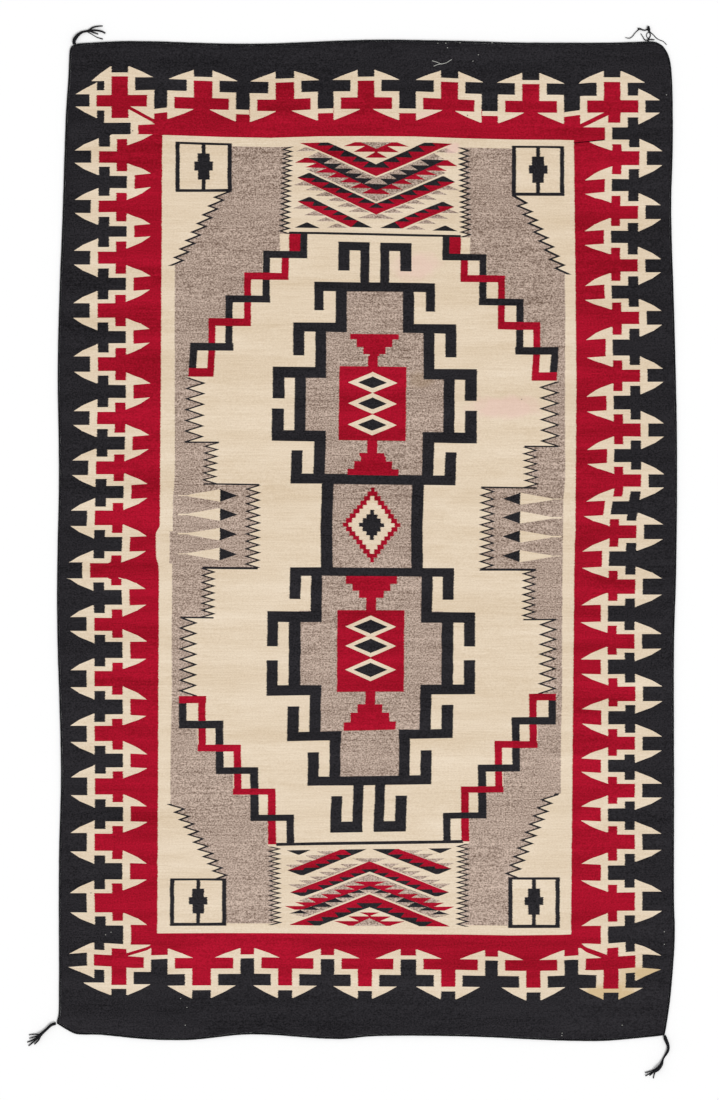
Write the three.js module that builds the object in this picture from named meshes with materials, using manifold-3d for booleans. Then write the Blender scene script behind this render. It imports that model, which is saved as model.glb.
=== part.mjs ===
// A handwoven wool floor rug of about 1.48 by 2.4 m, lying flat on a floor.
//
// The rug is one thick weft-faced cloth. A stout yarn cord runs along each of
// its four edges, where the loom cords were. At the corners the ends of those
// cords were left long: three of them are corner tassels, and the fourth has
// worn down to a knot with a few loose threads.
//
// Millimetres. X runs across the rug, +Y along it to the end with the worn
// corner, and +Z up. The origin is on the floor under the middle of the rug.

import * as THREE from "three";
import { mergeVertices } from "three/addons/utils/BufferGeometryUtils.js";
import Module from "manifold-3d";

const wasm = await Module();
wasm.setup();

// Driving sizes
const CLOTH_THICKNESS = 3.5;
const CORD_DIAMETER = 4.4;
const CORD_SIDES = 8;
const SEAT_GAP = 0.3; // between pieces that touch on the real rug
const STEPS_PER_ROW = 4; // straight stretches of an edge between two rows of its table
const STEP_ALONG_YARN = 7; // longest straight stretch of a tassel
const STRAND_SIDES = 4;
const STEM_SIDES = 8;

// The four edges, each in the order that walks round the rug counterclockwise.
// "at" is the place along the edge and "edge" is how far out it stands there.
// The weaver's beat and pull let every edge wander by a few millimetres.
const LEFT_EDGE = [
  { at: 1170, edge: -714 },
  { at: 1112, edge: -716 },
  { at: 1028, edge: -722 },
  { at: 791, edge: -730 },
  { at: 553, edge: -739 },
  { at: 395, edge: -742 },
  { at: 158, edge: -739 },
  { at: -160, edge: -744 },
  { at: -556, edge: -734 },
  { at: -754, edge: -739 },
  { at: -1105, edge: -739 },
  { at: -1142, edge: -740 },
  { at: -1156, edge: -745 },
];
const BOTTOM_EDGE = [
  { at: -740, edge: -1164 },
  { at: -707, edge: -1184 },
  { at: -694, edge: -1188 },
  { at: -648, edge: -1188 },
  { at: -532, edge: -1199 },
  { at: -425, edge: -1201 },
  { at: -281, edge: -1187 },
  { at: -65, edge: -1199 },
  { at: 7, edge: -1192 },
  { at: 223, edge: -1192 },
  { at: 547, edge: -1204 },
  { at: 655, edge: -1196 },
  { at: 706, edge: -1191 },
];
const RIGHT_EDGE = [
  { at: -1183, edge: 716 },
  { at: -1156, edge: 720 },
  { at: -1110, edge: 727 },
  { at: -952, edge: 739 },
  { at: -872, edge: 737 },
  { at: -595, edge: 737 },
  { at: -239, edge: 737 },
  { at: -80, edge: 742 },
  { at: 236, edge: 744 },
  { at: 553, edge: 737 },
  { at: 791, edge: 730 },
  { at: 949, edge: 734 },
  { at: 1107, edge: 732 },
  { at: 1147, edge: 728 },
  { at: 1164, edge: 723 },
];
const TOP_EDGE = [
  { at: 691, edge: 1196 },
  { at: 655, edge: 1194 },
  { at: 583, edge: 1192 },
  { at: 367, edge: 1192 },
  { at: 223, edge: 1196 },
  { at: 7, edge: 1199 },
  { at: -281, edge: 1189 },
  { at: -569, edge: 1196 },
  { at: -691, edge: 1190 },
];

// The corners: where the two edges aim, which the corner rounds off, how far
// round it, from 0 to 1, the two edge cords meet, and in how many straight
// steps it turns. The bottom left one is pulled out to a blunt point.
const CORNER_BOTTOM_LEFT = { x: -749, y: -1161, meet: 0.5, steps: 2 };
const CORNER_BOTTOM_RIGHT = { x: 716, y: -1191, meet: 0.5, steps: 4 };
const CORNER_TOP_RIGHT = { x: 714, y: 1187, meet: 0.5, steps: 8 };
const CORNER_TOP_LEFT = { x: -713, y: 1188, meet: 0.3, steps: 8 };

// The corner yarns. Each tassel has a stem of two cords held together and the
// strands that fray out of it. A row gives a place on the middle of the yarn
// and its thickness there. The stem's first row is brought to the edge of the
// rug, at the corner of the edge's outline that is nearest to it.
const TASSEL_TOP_LEFT = {
  stem: [
    { x: -702, y: 1189, thick: 8 },
    { x: -702.5, y: 1195, thick: 8.5 },
    { x: -700, y: 1201, thick: 9 },
    { x: -694, y: 1209, thick: 8 },
    { x: -684, y: 1216.5, thick: 6 },
    { x: -672, y: 1219.5, thick: 5.5 },
    { x: -661, y: 1221, thick: 7 },
  ],
  strands: [
    [
      { x: -668, y: 1221, thick: 4 },
      { x: -658, y: 1228, thick: 4 },
      { x: -646, y: 1231, thick: 3.6 },
      { x: -634, y: 1232, thick: 2.6 },
    ],
    [
      { x: -666, y: 1221, thick: 5 },
      { x: -650, y: 1221, thick: 4.6 },
      { x: -636, y: 1218.5, thick: 4.4 },
      { x: -628, y: 1214.5, thick: 4 },
    ],
    [
      { x: -666, y: 1220, thick: 4 },
      { x: -654, y: 1215.5, thick: 3.6 },
      { x: -645, y: 1212.5, thick: 2.8 },
    ],
    [
      { x: -672, y: 1219, thick: 2.6 },
      { x: -660, y: 1212, thick: 2.2 },
      { x: -648, y: 1205, thick: 2.2 },
      { x: -634, y: 1200.5, thick: 3 },
    ],
  ],
};
const TASSEL_BOTTOM_LEFT = {
  stem: [
    { x: -747, y: -1161, thick: 7 },
    { x: -758, y: -1165, thick: 7 },
    { x: -770, y: -1176, thick: 6.4 },
    { x: -780, y: -1185, thick: 7.6 },
    { x: -787, y: -1191, thick: 10 },
  ],
  strands: [
    [
      { x: -784, y: -1188, thick: 3 },
      { x: -797, y: -1187, thick: 2.8 },
      { x: -811, y: -1189, thick: 2.2 },
    ],
    [
      { x: -786, y: -1190, thick: 3 },
      { x: -799, y: -1193.5, thick: 2.8 },
      { x: -810, y: -1197, thick: 2.4 },
    ],
    [
      { x: -786, y: -1191, thick: 4.2 },
      { x: -800, y: -1200, thick: 4 },
      { x: -815, y: -1206.5, thick: 2.6 },
    ],
    [
      { x: -787, y: -1193, thick: 4 },
      { x: -801, y: -1206, thick: 3.6 },
      { x: -812, y: -1215, thick: 2.6 },
    ],
    [
      { x: -784, y: -1192, thick: 4.6 },
      { x: -789, y: -1202, thick: 4.2 },
      { x: -798, y: -1211, thick: 3 },
    ],
  ],
};
const TASSEL_BOTTOM_RIGHT = {
  stem: [
    { x: 714, y: -1190, thick: 6 },
    { x: 716.5, y: -1199, thick: 9 },
    { x: 722.5, y: -1215, thick: 7 },
    { x: 721, y: -1228, thick: 6.4 },
    { x: 711, y: -1245, thick: 4.4 },
    { x: 706, y: -1259, thick: 8 },
    { x: 697, y: -1270, thick: 10 },
    { x: 690, y: -1275, thick: 8 },
  ],
  strands: [
    [
      { x: 698, y: -1267, thick: 3.4 },
      { x: 684, y: -1274, thick: 3 },
      { x: 667, y: -1279.5, thick: 2.4 },
    ],
    [
      { x: 694, y: -1272, thick: 3.2 },
      { x: 682, y: -1279, thick: 3 },
      { x: 668, y: -1287, thick: 2.8 },
    ],
    [
      { x: 692, y: -1274, thick: 3.6 },
      { x: 685, y: -1280, thick: 3.2 },
      { x: 678, y: -1286.5, thick: 2.6 },
    ],
    [
      { x: 693, y: -1274, thick: 3.4 },
      { x: 689, y: -1284, thick: 2.8 },
      { x: 687, y: -1293, thick: 2.4 },
    ],
  ],
};
// The worn corner: a stalk that ends in a knot, and the threads that are left.
const TASSEL_TOP_RIGHT = {
  stem: [
    { x: 674, y: 1196, thick: 5 },
    { x: 676, y: 1201, thick: 3.6 },
    { x: 680, y: 1209, thick: 2.6 },
    { x: 678, y: 1217, thick: 3.6 },
    { x: 675.5, y: 1224, thick: 8 },
    { x: 675.5, y: 1231, thick: 5 },
  ],
  strands: [
    [
      { x: 676, y: 1225, thick: 4 },
      { x: 666, y: 1221.5, thick: 3 },
      { x: 657, y: 1224, thick: 4.4 },
      { x: 650, y: 1225.5, thick: 4 },
    ],
    [
      { x: 654, y: 1224.5, thick: 2.4 },
      { x: 645, y: 1217, thick: 2 },
      { x: 636, y: 1206, thick: 2 },
      { x: 629, y: 1202.5, thick: 2 },
      { x: 620, y: 1204, thick: 1.8 },
    ],
    [
      { x: 677, y: 1219, thick: 3 },
      { x: 686, y: 1212, thick: 2.4 },
      { x: 694, y: 1203.5, thick: 2.2 },
      { x: 702, y: 1198.5, thick: 2 },
      { x: 711, y: 1195, thick: 1.8 },
      { x: 719, y: 1187, thick: 1.8 },
    ],
    [
      { x: 675, y: 1198.4, thick: 2.6 },
      { x: 667, y: 1198.4, thick: 2.8 },
      { x: 662, y: 1206, thick: 2.2 },
      { x: 657, y: 1214, thick: 1.8 },
    ],
    [
      { x: 675, y: 1198.6, thick: 2.6 },
      { x: 683, y: 1199.2, thick: 2.8 },
      { x: 690, y: 1199, thick: 2 },
    ],
    [
      { x: 676, y: 1200, thick: 2.2 },
      { x: 671.5, y: 1206, thick: 2 },
      { x: 671, y: 1213, thick: 1.8 },
      { x: 677, y: 1217.5, thick: 2 },
    ],
  ],
};

// Wool, as it looks from a step away
const woolMaterial = (name, color) =>
  new THREE.MeshStandardMaterial({ name, color, roughness: 0.92, metalness: 0 });
const blackYarn = () => woolMaterial("black_yarn", 0x26262a);
const wovenWool = () => woolMaterial("woven_wool", 0x8d7f74);

// Outline

// One edge as a smooth curve through its rows.
function edgeCurve(rows, toPoint) {
  return new THREE.CatmullRomCurve3(rows.map(toPoint), false, "centripetal");
}

const alongY = ({ at, edge }) => new THREE.Vector3(edge, at, 0);
const alongX = ({ at, edge }) => new THREE.Vector3(at, edge, 0);

const edges = {
  left: edgeCurve(LEFT_EDGE, alongY),
  bottom: edgeCurve(BOTTOM_EDGE, alongX),
  right: edgeCurve(RIGHT_EDGE, alongY),
  top: edgeCurve(TOP_EDGE, alongX),
};

// A corner as a round from the end of one edge to the start of the next, cut
// in two where the cords meet.
function cornerHalves(edgeBefore, corner, edgeAfter) {
  const round = new THREE.QuadraticBezierCurve3(
    edgeBefore.getPoint(1),
    new THREE.Vector3(corner.x, corner.y, 0),
    edgeAfter.getPoint(0),
  );
  const points = (from, to) => {
    const steps = Math.ceil(corner.steps * (to - from));
    return Array.from({ length: steps + 1 }, (_, i) => round.getPoint(from + ((to - from) * i) / steps));
  };
  return { before: points(0, corner.meet), after: points(corner.meet, 1) };
}

const corners = {
  bottomLeft: cornerHalves(edges.left, CORNER_BOTTOM_LEFT, edges.bottom),
  bottomRight: cornerHalves(edges.bottom, CORNER_BOTTOM_RIGHT, edges.right),
  topRight: cornerHalves(edges.right, CORNER_TOP_RIGHT, edges.top),
  topLeft: cornerHalves(edges.top, CORNER_TOP_LEFT, edges.left),
};

// The rug's outer edge from one meeting of cords to the next.
function runOfEdge(cornerBefore, edge, cornerAfter) {
  const middle = edge.getPoints((edge.points.length - 1) * STEPS_PER_ROW).slice(1, -1);
  return [...cornerBefore.after, ...middle, ...cornerAfter.before];
}

const runs = {
  left: runOfEdge(corners.topLeft, edges.left, corners.bottomLeft),
  bottom: runOfEdge(corners.bottomLeft, edges.bottom, corners.bottomRight),
  right: runOfEdge(corners.bottomRight, edges.right, corners.topRight),
  top: runOfEdge(corners.topRight, edges.top, corners.topLeft),
};

const inwardNormal = (from, to) => new THREE.Vector3(from.y - to.y, to.x - from.x, 0).normalize();

// The step into the rug at each point of the closed outer edge, such that
// moving every point along it moves the whole edge in by one millimetre.
function mitreSteps(loop) {
  return loop.map((point, i) => {
    const before = inwardNormal(loop.at(i - 1), point);
    const after = inwardNormal(point, loop[(i + 1) % loop.length]);
    const middle = before.clone().add(after).normalize();
    return middle.divideScalar(middle.dot(after));
  });
}

const outerLoop = Object.values(runs).flatMap((run) => run.slice(0, -1));
const loopSteps = mitreSteps(outerLoop);

// Solids

// A closed solid through a row of rings with the same number of points. Seen
// along the row, each ring's points go counterclockwise.
function sweptSolid(rings) {
  const sides = rings[0].length;
  const positions = rings.flat().flatMap((point) => point.toArray());
  const index = [];
  for (let ring = 0; ring + 1 < rings.length; ring++) {
    for (let side = 0; side < sides; side++) {
      const next = (side + 1) % sides;
      const a = ring * sides + side;
      const b = ring * sides + next;
      const c = a + sides;
      const d = b + sides;
      index.push(a, d, b, a, c, d);
    }
  }
  const last = (rings.length - 1) * sides;
  for (let side = 1; side + 1 < sides; side++) {
    index.push(0, side, side + 1);
    index.push(last, last + side + 1, last + side);
  }
  const solid = new THREE.BufferGeometry();
  solid.setAttribute("position", new THREE.Float32BufferAttribute(positions, 3));
  solid.setIndex(index);
  return solid;
}

// A section of a yarn that lies on the floor: a regular polygon with one side
// down, of the given thickness. "out" points to one side of the yarn.
function yarnSection(middle, out, thick, sides) {
  const reach = thick / 2 / Math.cos(Math.PI / sides);
  return Array.from({ length: sides }, (_, i) => {
    const angle = ((i + 0.5) * 2 * Math.PI) / sides;
    const point = middle.clone().addScaledVector(out, reach * Math.sin(angle));
    point.z = thick / 2 - reach * Math.cos(angle);
    return point;
  });
}

function clothSolid() {
  const inset = CORD_DIAMETER + SEAT_GAP;
  const outline = outerLoop.map((point, i) => point.clone().addScaledVector(loopSteps[i], inset));
  const shape = new THREE.Shape(outline.map(({ x, y }) => new THREE.Vector2(x, y)));
  return new THREE.ExtrudeGeometry(shape, { depth: CLOTH_THICKNESS, bevelEnabled: false });
}

// The cord along one edge. Its ends stand half a gap back from the meetings.
function edgeCordSolid(run) {
  const first = outerLoop.indexOf(run[0]);
  const rings = run.map((point, i) => {
    const step = loopSteps[(first + i) % outerLoop.length];
    const middle = point.clone().addScaledVector(step, CORD_DIAMETER / 2);
    if (i === 0) middle.addScaledVector(run[1].clone().sub(point).normalize(), SEAT_GAP / 2);
    if (i === run.length - 1) middle.addScaledVector(run.at(-2).clone().sub(point).normalize(), SEAT_GAP / 2);
    return yarnSection(middle, step.clone().negate(), CORD_DIAMETER, CORD_SIDES);
  });
  return sweptSolid(rings);
}

// The sections of a yarn of changing thickness that lies level on the floor.
// The thickness rides on the curve as its third coordinate.
function yarnSections(rows, sides) {
  const line = new THREE.CatmullRomCurve3(rows.map(({ x, y, thick }) => new THREE.Vector3(x, y, thick)));
  const steps = Math.max(rows.length, Math.ceil(line.getLength() / STEP_ALONG_YARN));
  const points = line.getPoints(steps);
  return points.map((point, i) => {
    const ahead = points[Math.min(i + 1, steps)];
    const behind = points[Math.max(i - 1, 0)];
    const out = inwardNormal(behind, ahead).negate();
    return yarnSection(new THREE.Vector3(point.x, point.y, 0), out, point.z, sides);
  });
}

const strandSolid = (rows) => sweptSolid(yarnSections(rows, STRAND_SIDES));

// A stem seated on the rug: its first section faces the edge cord, a gap off.
function stemSolid(rows) {
  const [root, ...rest] = rows;
  const rootPoint = new THREE.Vector3(root.x, root.y, 0);
  const distances = outerLoop.map((point) => point.distanceTo(rootPoint));
  const nearest = distances.indexOf(Math.min(...distances));
  const wayOut = loopSteps[nearest].clone().normalize().negate();
  const seat = outerLoop[nearest].clone().addScaledVector(wayOut, SEAT_GAP);
  const sections = yarnSections([{ x: seat.x, y: seat.y, thick: root.thick }, ...rest], STEM_SIDES);
  const acrossStem = new THREE.Vector3(wayOut.y, -wayOut.x, 0);
  sections[0] = yarnSection(seat, acrossStem, root.thick, STEM_SIDES);
  return sweptSolid(sections);
}

// Tassels: the stem and its strands become one solid.

function asManifold(geometry) {
  const merged = mergeVertices(geometry);
  return new wasm.Manifold(
    new wasm.Mesh({
      numProp: 3,
      vertProperties: new Float32Array(merged.attributes.position.array),
      triVerts: new Uint32Array(merged.index.array),
    }),
  );
}

function asGeometry(manifold) {
  const mesh = manifold.getMesh();
  const geometry = new THREE.BufferGeometry();
  geometry.setAttribute("position", new THREE.BufferAttribute(new Float32Array(mesh.vertProperties), 3));
  geometry.setIndex(new THREE.BufferAttribute(new Uint32Array(mesh.triVerts), 1));
  return geometry;
}

function tasselSolid({ stem, strands }) {
  const joined = strands.reduce(
    (solid, strand) => solid.add(asManifold(strandSolid(strand))),
    asManifold(stemSolid(stem)),
  );
  return asGeometry(joined);
}

// The rug

const rug = new THREE.Group();

function addPiece(name, geometry, material) {
  const mesh = new THREE.Mesh(geometry, material);
  mesh.name = name;
  rug.add(mesh);
}

addPiece("rug_body", clothSolid(), wovenWool());
addPiece("side_cord_left", edgeCordSolid(runs.left), blackYarn());
addPiece("edge_cord_bottom", edgeCordSolid(runs.bottom), blackYarn());
addPiece("side_cord_right", edgeCordSolid(runs.right), blackYarn());
addPiece("edge_cord_top", edgeCordSolid(runs.top), blackYarn());
addPiece("tassel_top_left", tasselSolid(TASSEL_TOP_LEFT), blackYarn());
addPiece("tassel_bottom_left", tasselSolid(TASSEL_BOTTOM_LEFT), blackYarn());
addPiece("tassel_bottom_right", tasselSolid(TASSEL_BOTTOM_RIGHT), blackYarn());
addPiece("tassel_top_right", tasselSolid(TASSEL_TOP_RIGHT), blackYarn());

export default rug;
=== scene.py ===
# %% [markdown]
# # A handwoven wool rug with corner tassels
# The rug is one thick tapestry-woven cloth. Black, red, cream and grey wools are beaten down so hard
# over the warps that only the wefts show. A cord runs along each edge, and its ends are left long as
# tassels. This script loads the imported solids, weaves the cloth row by row from a chart, twists the
# yarns, gives the wools their finish, and lays the rug on a pale floor.

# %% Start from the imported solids
import math
import random
from bisect import bisect_right

import bmesh
import bpy
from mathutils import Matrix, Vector, noise


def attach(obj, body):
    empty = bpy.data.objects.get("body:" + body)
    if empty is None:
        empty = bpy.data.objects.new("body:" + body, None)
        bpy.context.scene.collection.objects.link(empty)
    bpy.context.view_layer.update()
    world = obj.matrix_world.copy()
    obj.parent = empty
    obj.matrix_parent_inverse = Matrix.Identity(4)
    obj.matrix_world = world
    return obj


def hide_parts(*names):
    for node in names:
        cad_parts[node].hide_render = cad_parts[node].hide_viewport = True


MM = 0.001
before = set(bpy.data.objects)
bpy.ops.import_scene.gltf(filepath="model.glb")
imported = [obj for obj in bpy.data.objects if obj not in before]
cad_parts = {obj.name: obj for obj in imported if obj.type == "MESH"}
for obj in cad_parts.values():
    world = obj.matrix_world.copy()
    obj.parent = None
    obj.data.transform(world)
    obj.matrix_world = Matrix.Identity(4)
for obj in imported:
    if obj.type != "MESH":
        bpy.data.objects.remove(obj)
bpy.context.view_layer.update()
print("solids:", sorted(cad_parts))

# %% [markdown]
# ## The camera
# The photograph looks straight down from far above, so the camera hangs six metres over the rug with
# its top towards +Y. The picture is 719 by 1100 units and takes in 2.64 m from top to bottom.

# %% Camera
CAMERA_HEIGHT = 6.0
VIEW_LENGTH = 2.640
VIEW_WIDTH = VIEW_LENGTH * 719 / 1100
VIEW_MIDDLE = (-0.018, -0.0252)

camera_data = bpy.data.cameras.new("camera")
camera_data.sensor_fit = "VERTICAL"
camera_data.sensor_height = 24
camera_data.lens = camera_data.sensor_height * CAMERA_HEIGHT / VIEW_LENGTH
camera = bpy.data.objects.new("camera", camera_data)
camera.location = (*VIEW_MIDDLE, CAMERA_HEIGHT)
bpy.context.scene.collection.objects.link(camera)
bpy.context.scene.camera = camera
print("view:", round(VIEW_WIDTH, 3), "by", VIEW_LENGTH, "m")

# %% [markdown]
# ## The chart and its yarns
# A weaver builds a tapestry rug from the bottom up and changes the yarn wherever an area begins. The
# chart below does the same. It is a pile of patches, each with straight left and right sides, and a
# later patch lies over an earlier one. All of it is in millimetres from the middle of the rug, up
# being the end with the worn corner. Where the weaver's middle line wandered, a patch is measured
# from a named line that wanders too.

# %% The yarns and the patches
BLACK, RED, CREAM, GREY = range(4)
SLIVER = 0.02  # mm inside a level, where a stepped line is read
chart = []


def between(table, at):
    """A value read from a table of (height, value) rows, highest row first."""
    if at >= table[0][0]:
        return table[0][1]
    for (high, value_high), (low, value_low) in zip(table, table[1:]):
        if at >= low:
            return value_low + (value_high - value_low) * (at - low) / (high - low)
    return table[-1][1]


def rug_middle(at):
    return 0.0


def as_pair(value):
    return value if isinstance(value, tuple) else (value, value)


def patch(yarn, low, high, left, right, about=rug_middle):
    """One area of a yarn. left and right are places, or (at its foot, at its top) pairs."""
    if high - low > SLIVER:
        chart.append((yarn, low, high, as_pair(left), as_pair(right), about))


def pair_of_patches(yarn, low, high, near, far, about=rug_middle):
    """The same area on both sides of a middle line."""
    near, far = as_pair(near), as_pair(far)
    patch(yarn, low, high, near, far, about)
    patch(yarn, low, high, (-far[0], -far[1]), (-near[0], -near[1]), about)


def across(line, at):
    """Where a line of (place, height) points, from its top to its foot, stands at a height."""
    for (x_high, high), (x_low, low) in zip(line, line[1:]):
        if low <= at <= high and high > low:
            return x_low + (x_high - x_low) * (at - low) / (high - low)
    return line[0][0] if at > line[0][1] else line[-1][0]


def area(yarn, left_line, right_line, about=rug_middle):
    """The area between two lines."""
    top = min(left_line[0][1], right_line[0][1])
    foot = max(left_line[-1][1], right_line[-1][1])
    levels = sorted({at for _, at in left_line + right_line if foot <= at <= top})
    for low, high in zip(levels, levels[1:]):
        inside = (low + SLIVER, high - SLIVER)
        left = tuple(across(left_line, at) for at in inside)
        right = tuple(across(right_line, at) for at in inside)
        patch(yarn, low, high, left, right, about)


def mirrored(line):
    return [(-x, at) for x, at in line]


# How much of its reach an arrowhead still has at half its height.
ARROW_FULL = 0.56
SIDE_ARROW_FULL = 0.62


def arrow_half(place, base, end, root, tip, full=ARROW_FULL):
    """Half an arrowhead in cream. It is widest at its base, from root to tip, and ends blunt."""
    reach = tip - root
    rows = [(base, tip), ((base + end) / 2, root + reach * full), (end, root + reach * 0.03)]
    for row, next_row in zip(rows, rows[1:]):
        (low, foot), (high, top) = sorted((row, next_row))
        place(CREAM, low, high, (min(foot, root), min(top, root)), (max(foot, root), max(top, root)))


# %% [markdown]
# ## The wandering lines
# On the loom nothing stays quite straight. The band of motifs leans, the side figures lean another
# way, and the wefts sag towards one side. Each of these is one short table of heights and places.

# %% Where the middle lines and the edges of the field wander
MOTIF_LEAN = [(700, 19), (611, 18.5), (407, 19), (215, 17), (143, 14.5), (35, 11), (-78, 12)]
MOTIF_LEAN += [(-193, 10), (-361, 9), (-469, 7), (-577, 6), (-685, 2.5)]
FIELD_LEFT = [(935, -491), (407, -494), (28, -497), (12, -506), (-45, -506), (-68, -499)]
FIELD_LEFT += [(-145, -497), (-625, -502), (-925, -503)]
FIELD_RIGHT = [(930, 496), (780, 497), (335, 503), (145, 503), (-60, 497), (-625, 492), (-925, 489)]
FIELD_TOP = 965
FIELD_FOOT = -944


def motif_middle(at):
    return between(MOTIF_LEAN, at)


def field_left(at):
    return between(FIELD_LEFT, at)


def field_right(at):
    return between(FIELD_RIGHT, at)


print("field: from", FIELD_FOOT, "to", FIELD_TOP, "mm")

# %% [markdown]
# ## The side borders
# Each side border is one cream line that turns in and out between a black and a red comb. A red arm
# reaches out, a black arm reaches in, each with a crossbar, and at every turn the cream line runs
# out into two arrowheads. The arms differ a little, so their heights and half thicknesses are a
# table, and everything else about a unit is the same from one to the next.

# %% Side border sizes
CREAM_LINE = 10.5  # the cream line's width where it runs across
NOTCH = 16.5  # how far the cream cap of a corner cross stands outside its red arm
OUTER_ARROW = 29  # how tall the outer arrowheads are
INNER_ARROW = (29, 25.5)  # how tall the inner ones are, above an arm and below it
# All of these are measured from the end of the red arm: outwards the reach of the arrowheads (a table
# by height) and of the cream cap (notch), inwards the far side of the black crossbar, the near side of
# the red one, the cream bar that closes the black arm, and the tip of the inner arrowheads.
SIDE_LEFT = dict(outer_tip=[(0, 58)], notch=18.3, black_bar=26.3, red_bar=42.5)
SIDE_LEFT |= dict(closer=68, closer_end=86, inner_tip=126)
SIDE_RIGHT = dict(outer_tip=[(120, 55), (50, 64.5)], notch=17.6, black_bar=24.5, red_bar=42.5)
SIDE_RIGHT |= dict(closer=64.8, closer_end=81.5, inner_tip=129)

BORDER_DEPTH = 170  # how far in from the red arms' ends the red ground of the border reaches
BORDER_BEYOND = 60  # how far it runs on past the last arms
LAST_ARM_ON = 10  # how much further the first and the last black arm reach, to meet the corner crosses

# Each row is the middle of an arm and half its thickness.
RED_ARMS_LEFT = [(918, 14), (799, 14), (676, 15.5), (549, 17), (421, 17), (291, 15), (172, 16), (51, 17.5)]
RED_ARMS_LEFT += [(-74.5, 18), (-203, 15.5), (-334, 19), (-466, 18.5), (-592, 20)]
RED_ARMS_LEFT += [(-726, 21), (-871, 22.5)]
BLACK_ARMS_LEFT = [(983, 11), (857, 15), (738.5, 13.5), (612.5, 15), (485.5, 15)]
BLACK_ARMS_LEFT += [(354.5, 16), (230.5, 15.5)]
BLACK_ARMS_LEFT += [(113.5, 15), (-11, 17), (-139, 18), (-265, 19), (-401, 18), (-530, 16), (-658.5, 17.5)]
BLACK_ARMS_LEFT += [(-795.5, 19), (-947, 21.5)]
RED_ARMS_RIGHT = [(914.5, 16), (784.5, 15.5), (657, 15), (531.5, 15), (393.5, 15), (262.5, 15), (141, 15)]
RED_ARMS_RIGHT += [(18.5, 16), (-113, 18), (-244, 17), (-370, 17), (-489, 16), (-602, 16), (-725, 18)]
RED_ARMS_RIGHT += [(-868, 22.5)]
BLACK_ARMS_RIGHT = [(973, 14), (849.5, 15), (726, 15), (594, 15.7), (460.7, 19.6), (327.8, 17)]
BLACK_ARMS_RIGHT += [(201, 16), (75.7, 16), (-46.3, 18.4), (-177, 19.3), (-305, 17), (-427.5, 16)]
BLACK_ARMS_RIGHT += [(-543.5, 15), (-660, 16), (-799.5, 18), (-947, 20)]

# Where the red arms end, seen from the middle of the rug.
ARM_END_LEFT = [(973, 635), (970, 643), (918, 643), (799, 644), (549, 646.5), (421, 645.7), (291, 647)]
ARM_END_LEFT += [(172, 650), (51, 653), (-54, 657), (-56, 664.6), (-93, 664.6), (-95, 657), (-203, 654)]
ARM_END_LEFT += [(-466, 653.7), (-592, 652.7), (-726, 653.5), (-795, 655), (-947, 652.5)]
ARM_END_RIGHT = [(980, 652.5), (914, 653.5), (784, 650), (657, 649.8), (531, 653), (393, 655.2)]
ARM_END_RIGHT += [(262, 657), (120, 657.6), (50, 647), (18, 646.5), (-113, 643.4), (-244, 641.2)]
ARM_END_RIGHT += [(-370, 644), (-489, 642.5), (-947, 642.5)]


def side_border(side, red_arms, black_arms, ends):
    """The meander of one side. side is -1 on the left and 1 on the right."""

    def arm_end(at):
        return side * between(ends, at)

    def strip(yarn, low, high, start, stop):
        """A patch from start to stop, both measured inwards from the end of the red arms."""
        start, stop = as_pair(start), as_pair(stop)
        if side < 0:
            patch(yarn, low, high, start, stop, arm_end)
        else:
            patch(yarn, low, high, (-stop[0], -stop[1]), (-start[0], -start[1]), arm_end)

    size = SIDE_LEFT if side < 0 else SIDE_RIGHT
    closer = size["closer"]
    top = black_arms[0][0] + black_arms[0][1]
    foot = black_arms[-1][0] - black_arms[-1][1]
    strip(RED, foot - BORDER_BEYOND, top + BORDER_BEYOND, closer, BORDER_DEPTH)
    strip(CREAM, foot, top, 0, closer)
    for black, next_black in zip(black_arms, black_arms[1:]):
        high = black[0] - black[1] - CREAM_LINE
        low = next_black[0] + next_black[1] + CREAM_LINE
        strip(RED, low, high, size["red_bar"], closer + 1)
    for at, half in red_arms:
        strip(CREAM, at - half - 1, at + half + 1, -size["notch"], 0)
        strip(RED, at - half, at + half, 0, closer)
        tip = half + 1
        reach = between(size["outer_tip"], at)
        arrow_half(strip, at + tip, at + tip + OUTER_ARROW, 0, -reach, SIDE_ARROW_FULL)
        arrow_half(strip, at - tip, at - tip - OUTER_ARROW, 0, -reach, SIDE_ARROW_FULL)
    for place, (at, half) in enumerate(black_arms):
        high, low = at + half + 2, at - half - 2
        if place > 0:
            high = red_arms[place - 1][0] - red_arms[place - 1][1] - CREAM_LINE
        if place < len(red_arms):
            low = red_arms[place][0] + red_arms[place][1] + CREAM_LINE
        strip(BLACK, low, high, 0, size["black_bar"])
        above = LAST_ARM_ON if place == 0 else 0
        below = LAST_ARM_ON if place == len(red_arms) else 0
        strip(BLACK, at - half - below, at + half + above, 0, closer)
        strip(CREAM, at - half - 1 - below, at + half + 1 + above, closer, size["closer_end"])
        tip = half + 1
        for base, stop in ((tip, tip + INNER_ARROW[0]), (-tip, -tip - INNER_ARROW[1])):
            arrow_half(strip, at + base, at + stop, closer, size["inner_tip"], SIDE_ARROW_FULL)


# %% [markdown]
# ## The end borders
# The same cream line crosses both ends, turned a quarter, but its arrowheads still point left and
# right, because on a loom a slope is easiest that way. The two ends have their own levels, and each
# unit its own widths, as the weaver's count of warps changed.

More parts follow.
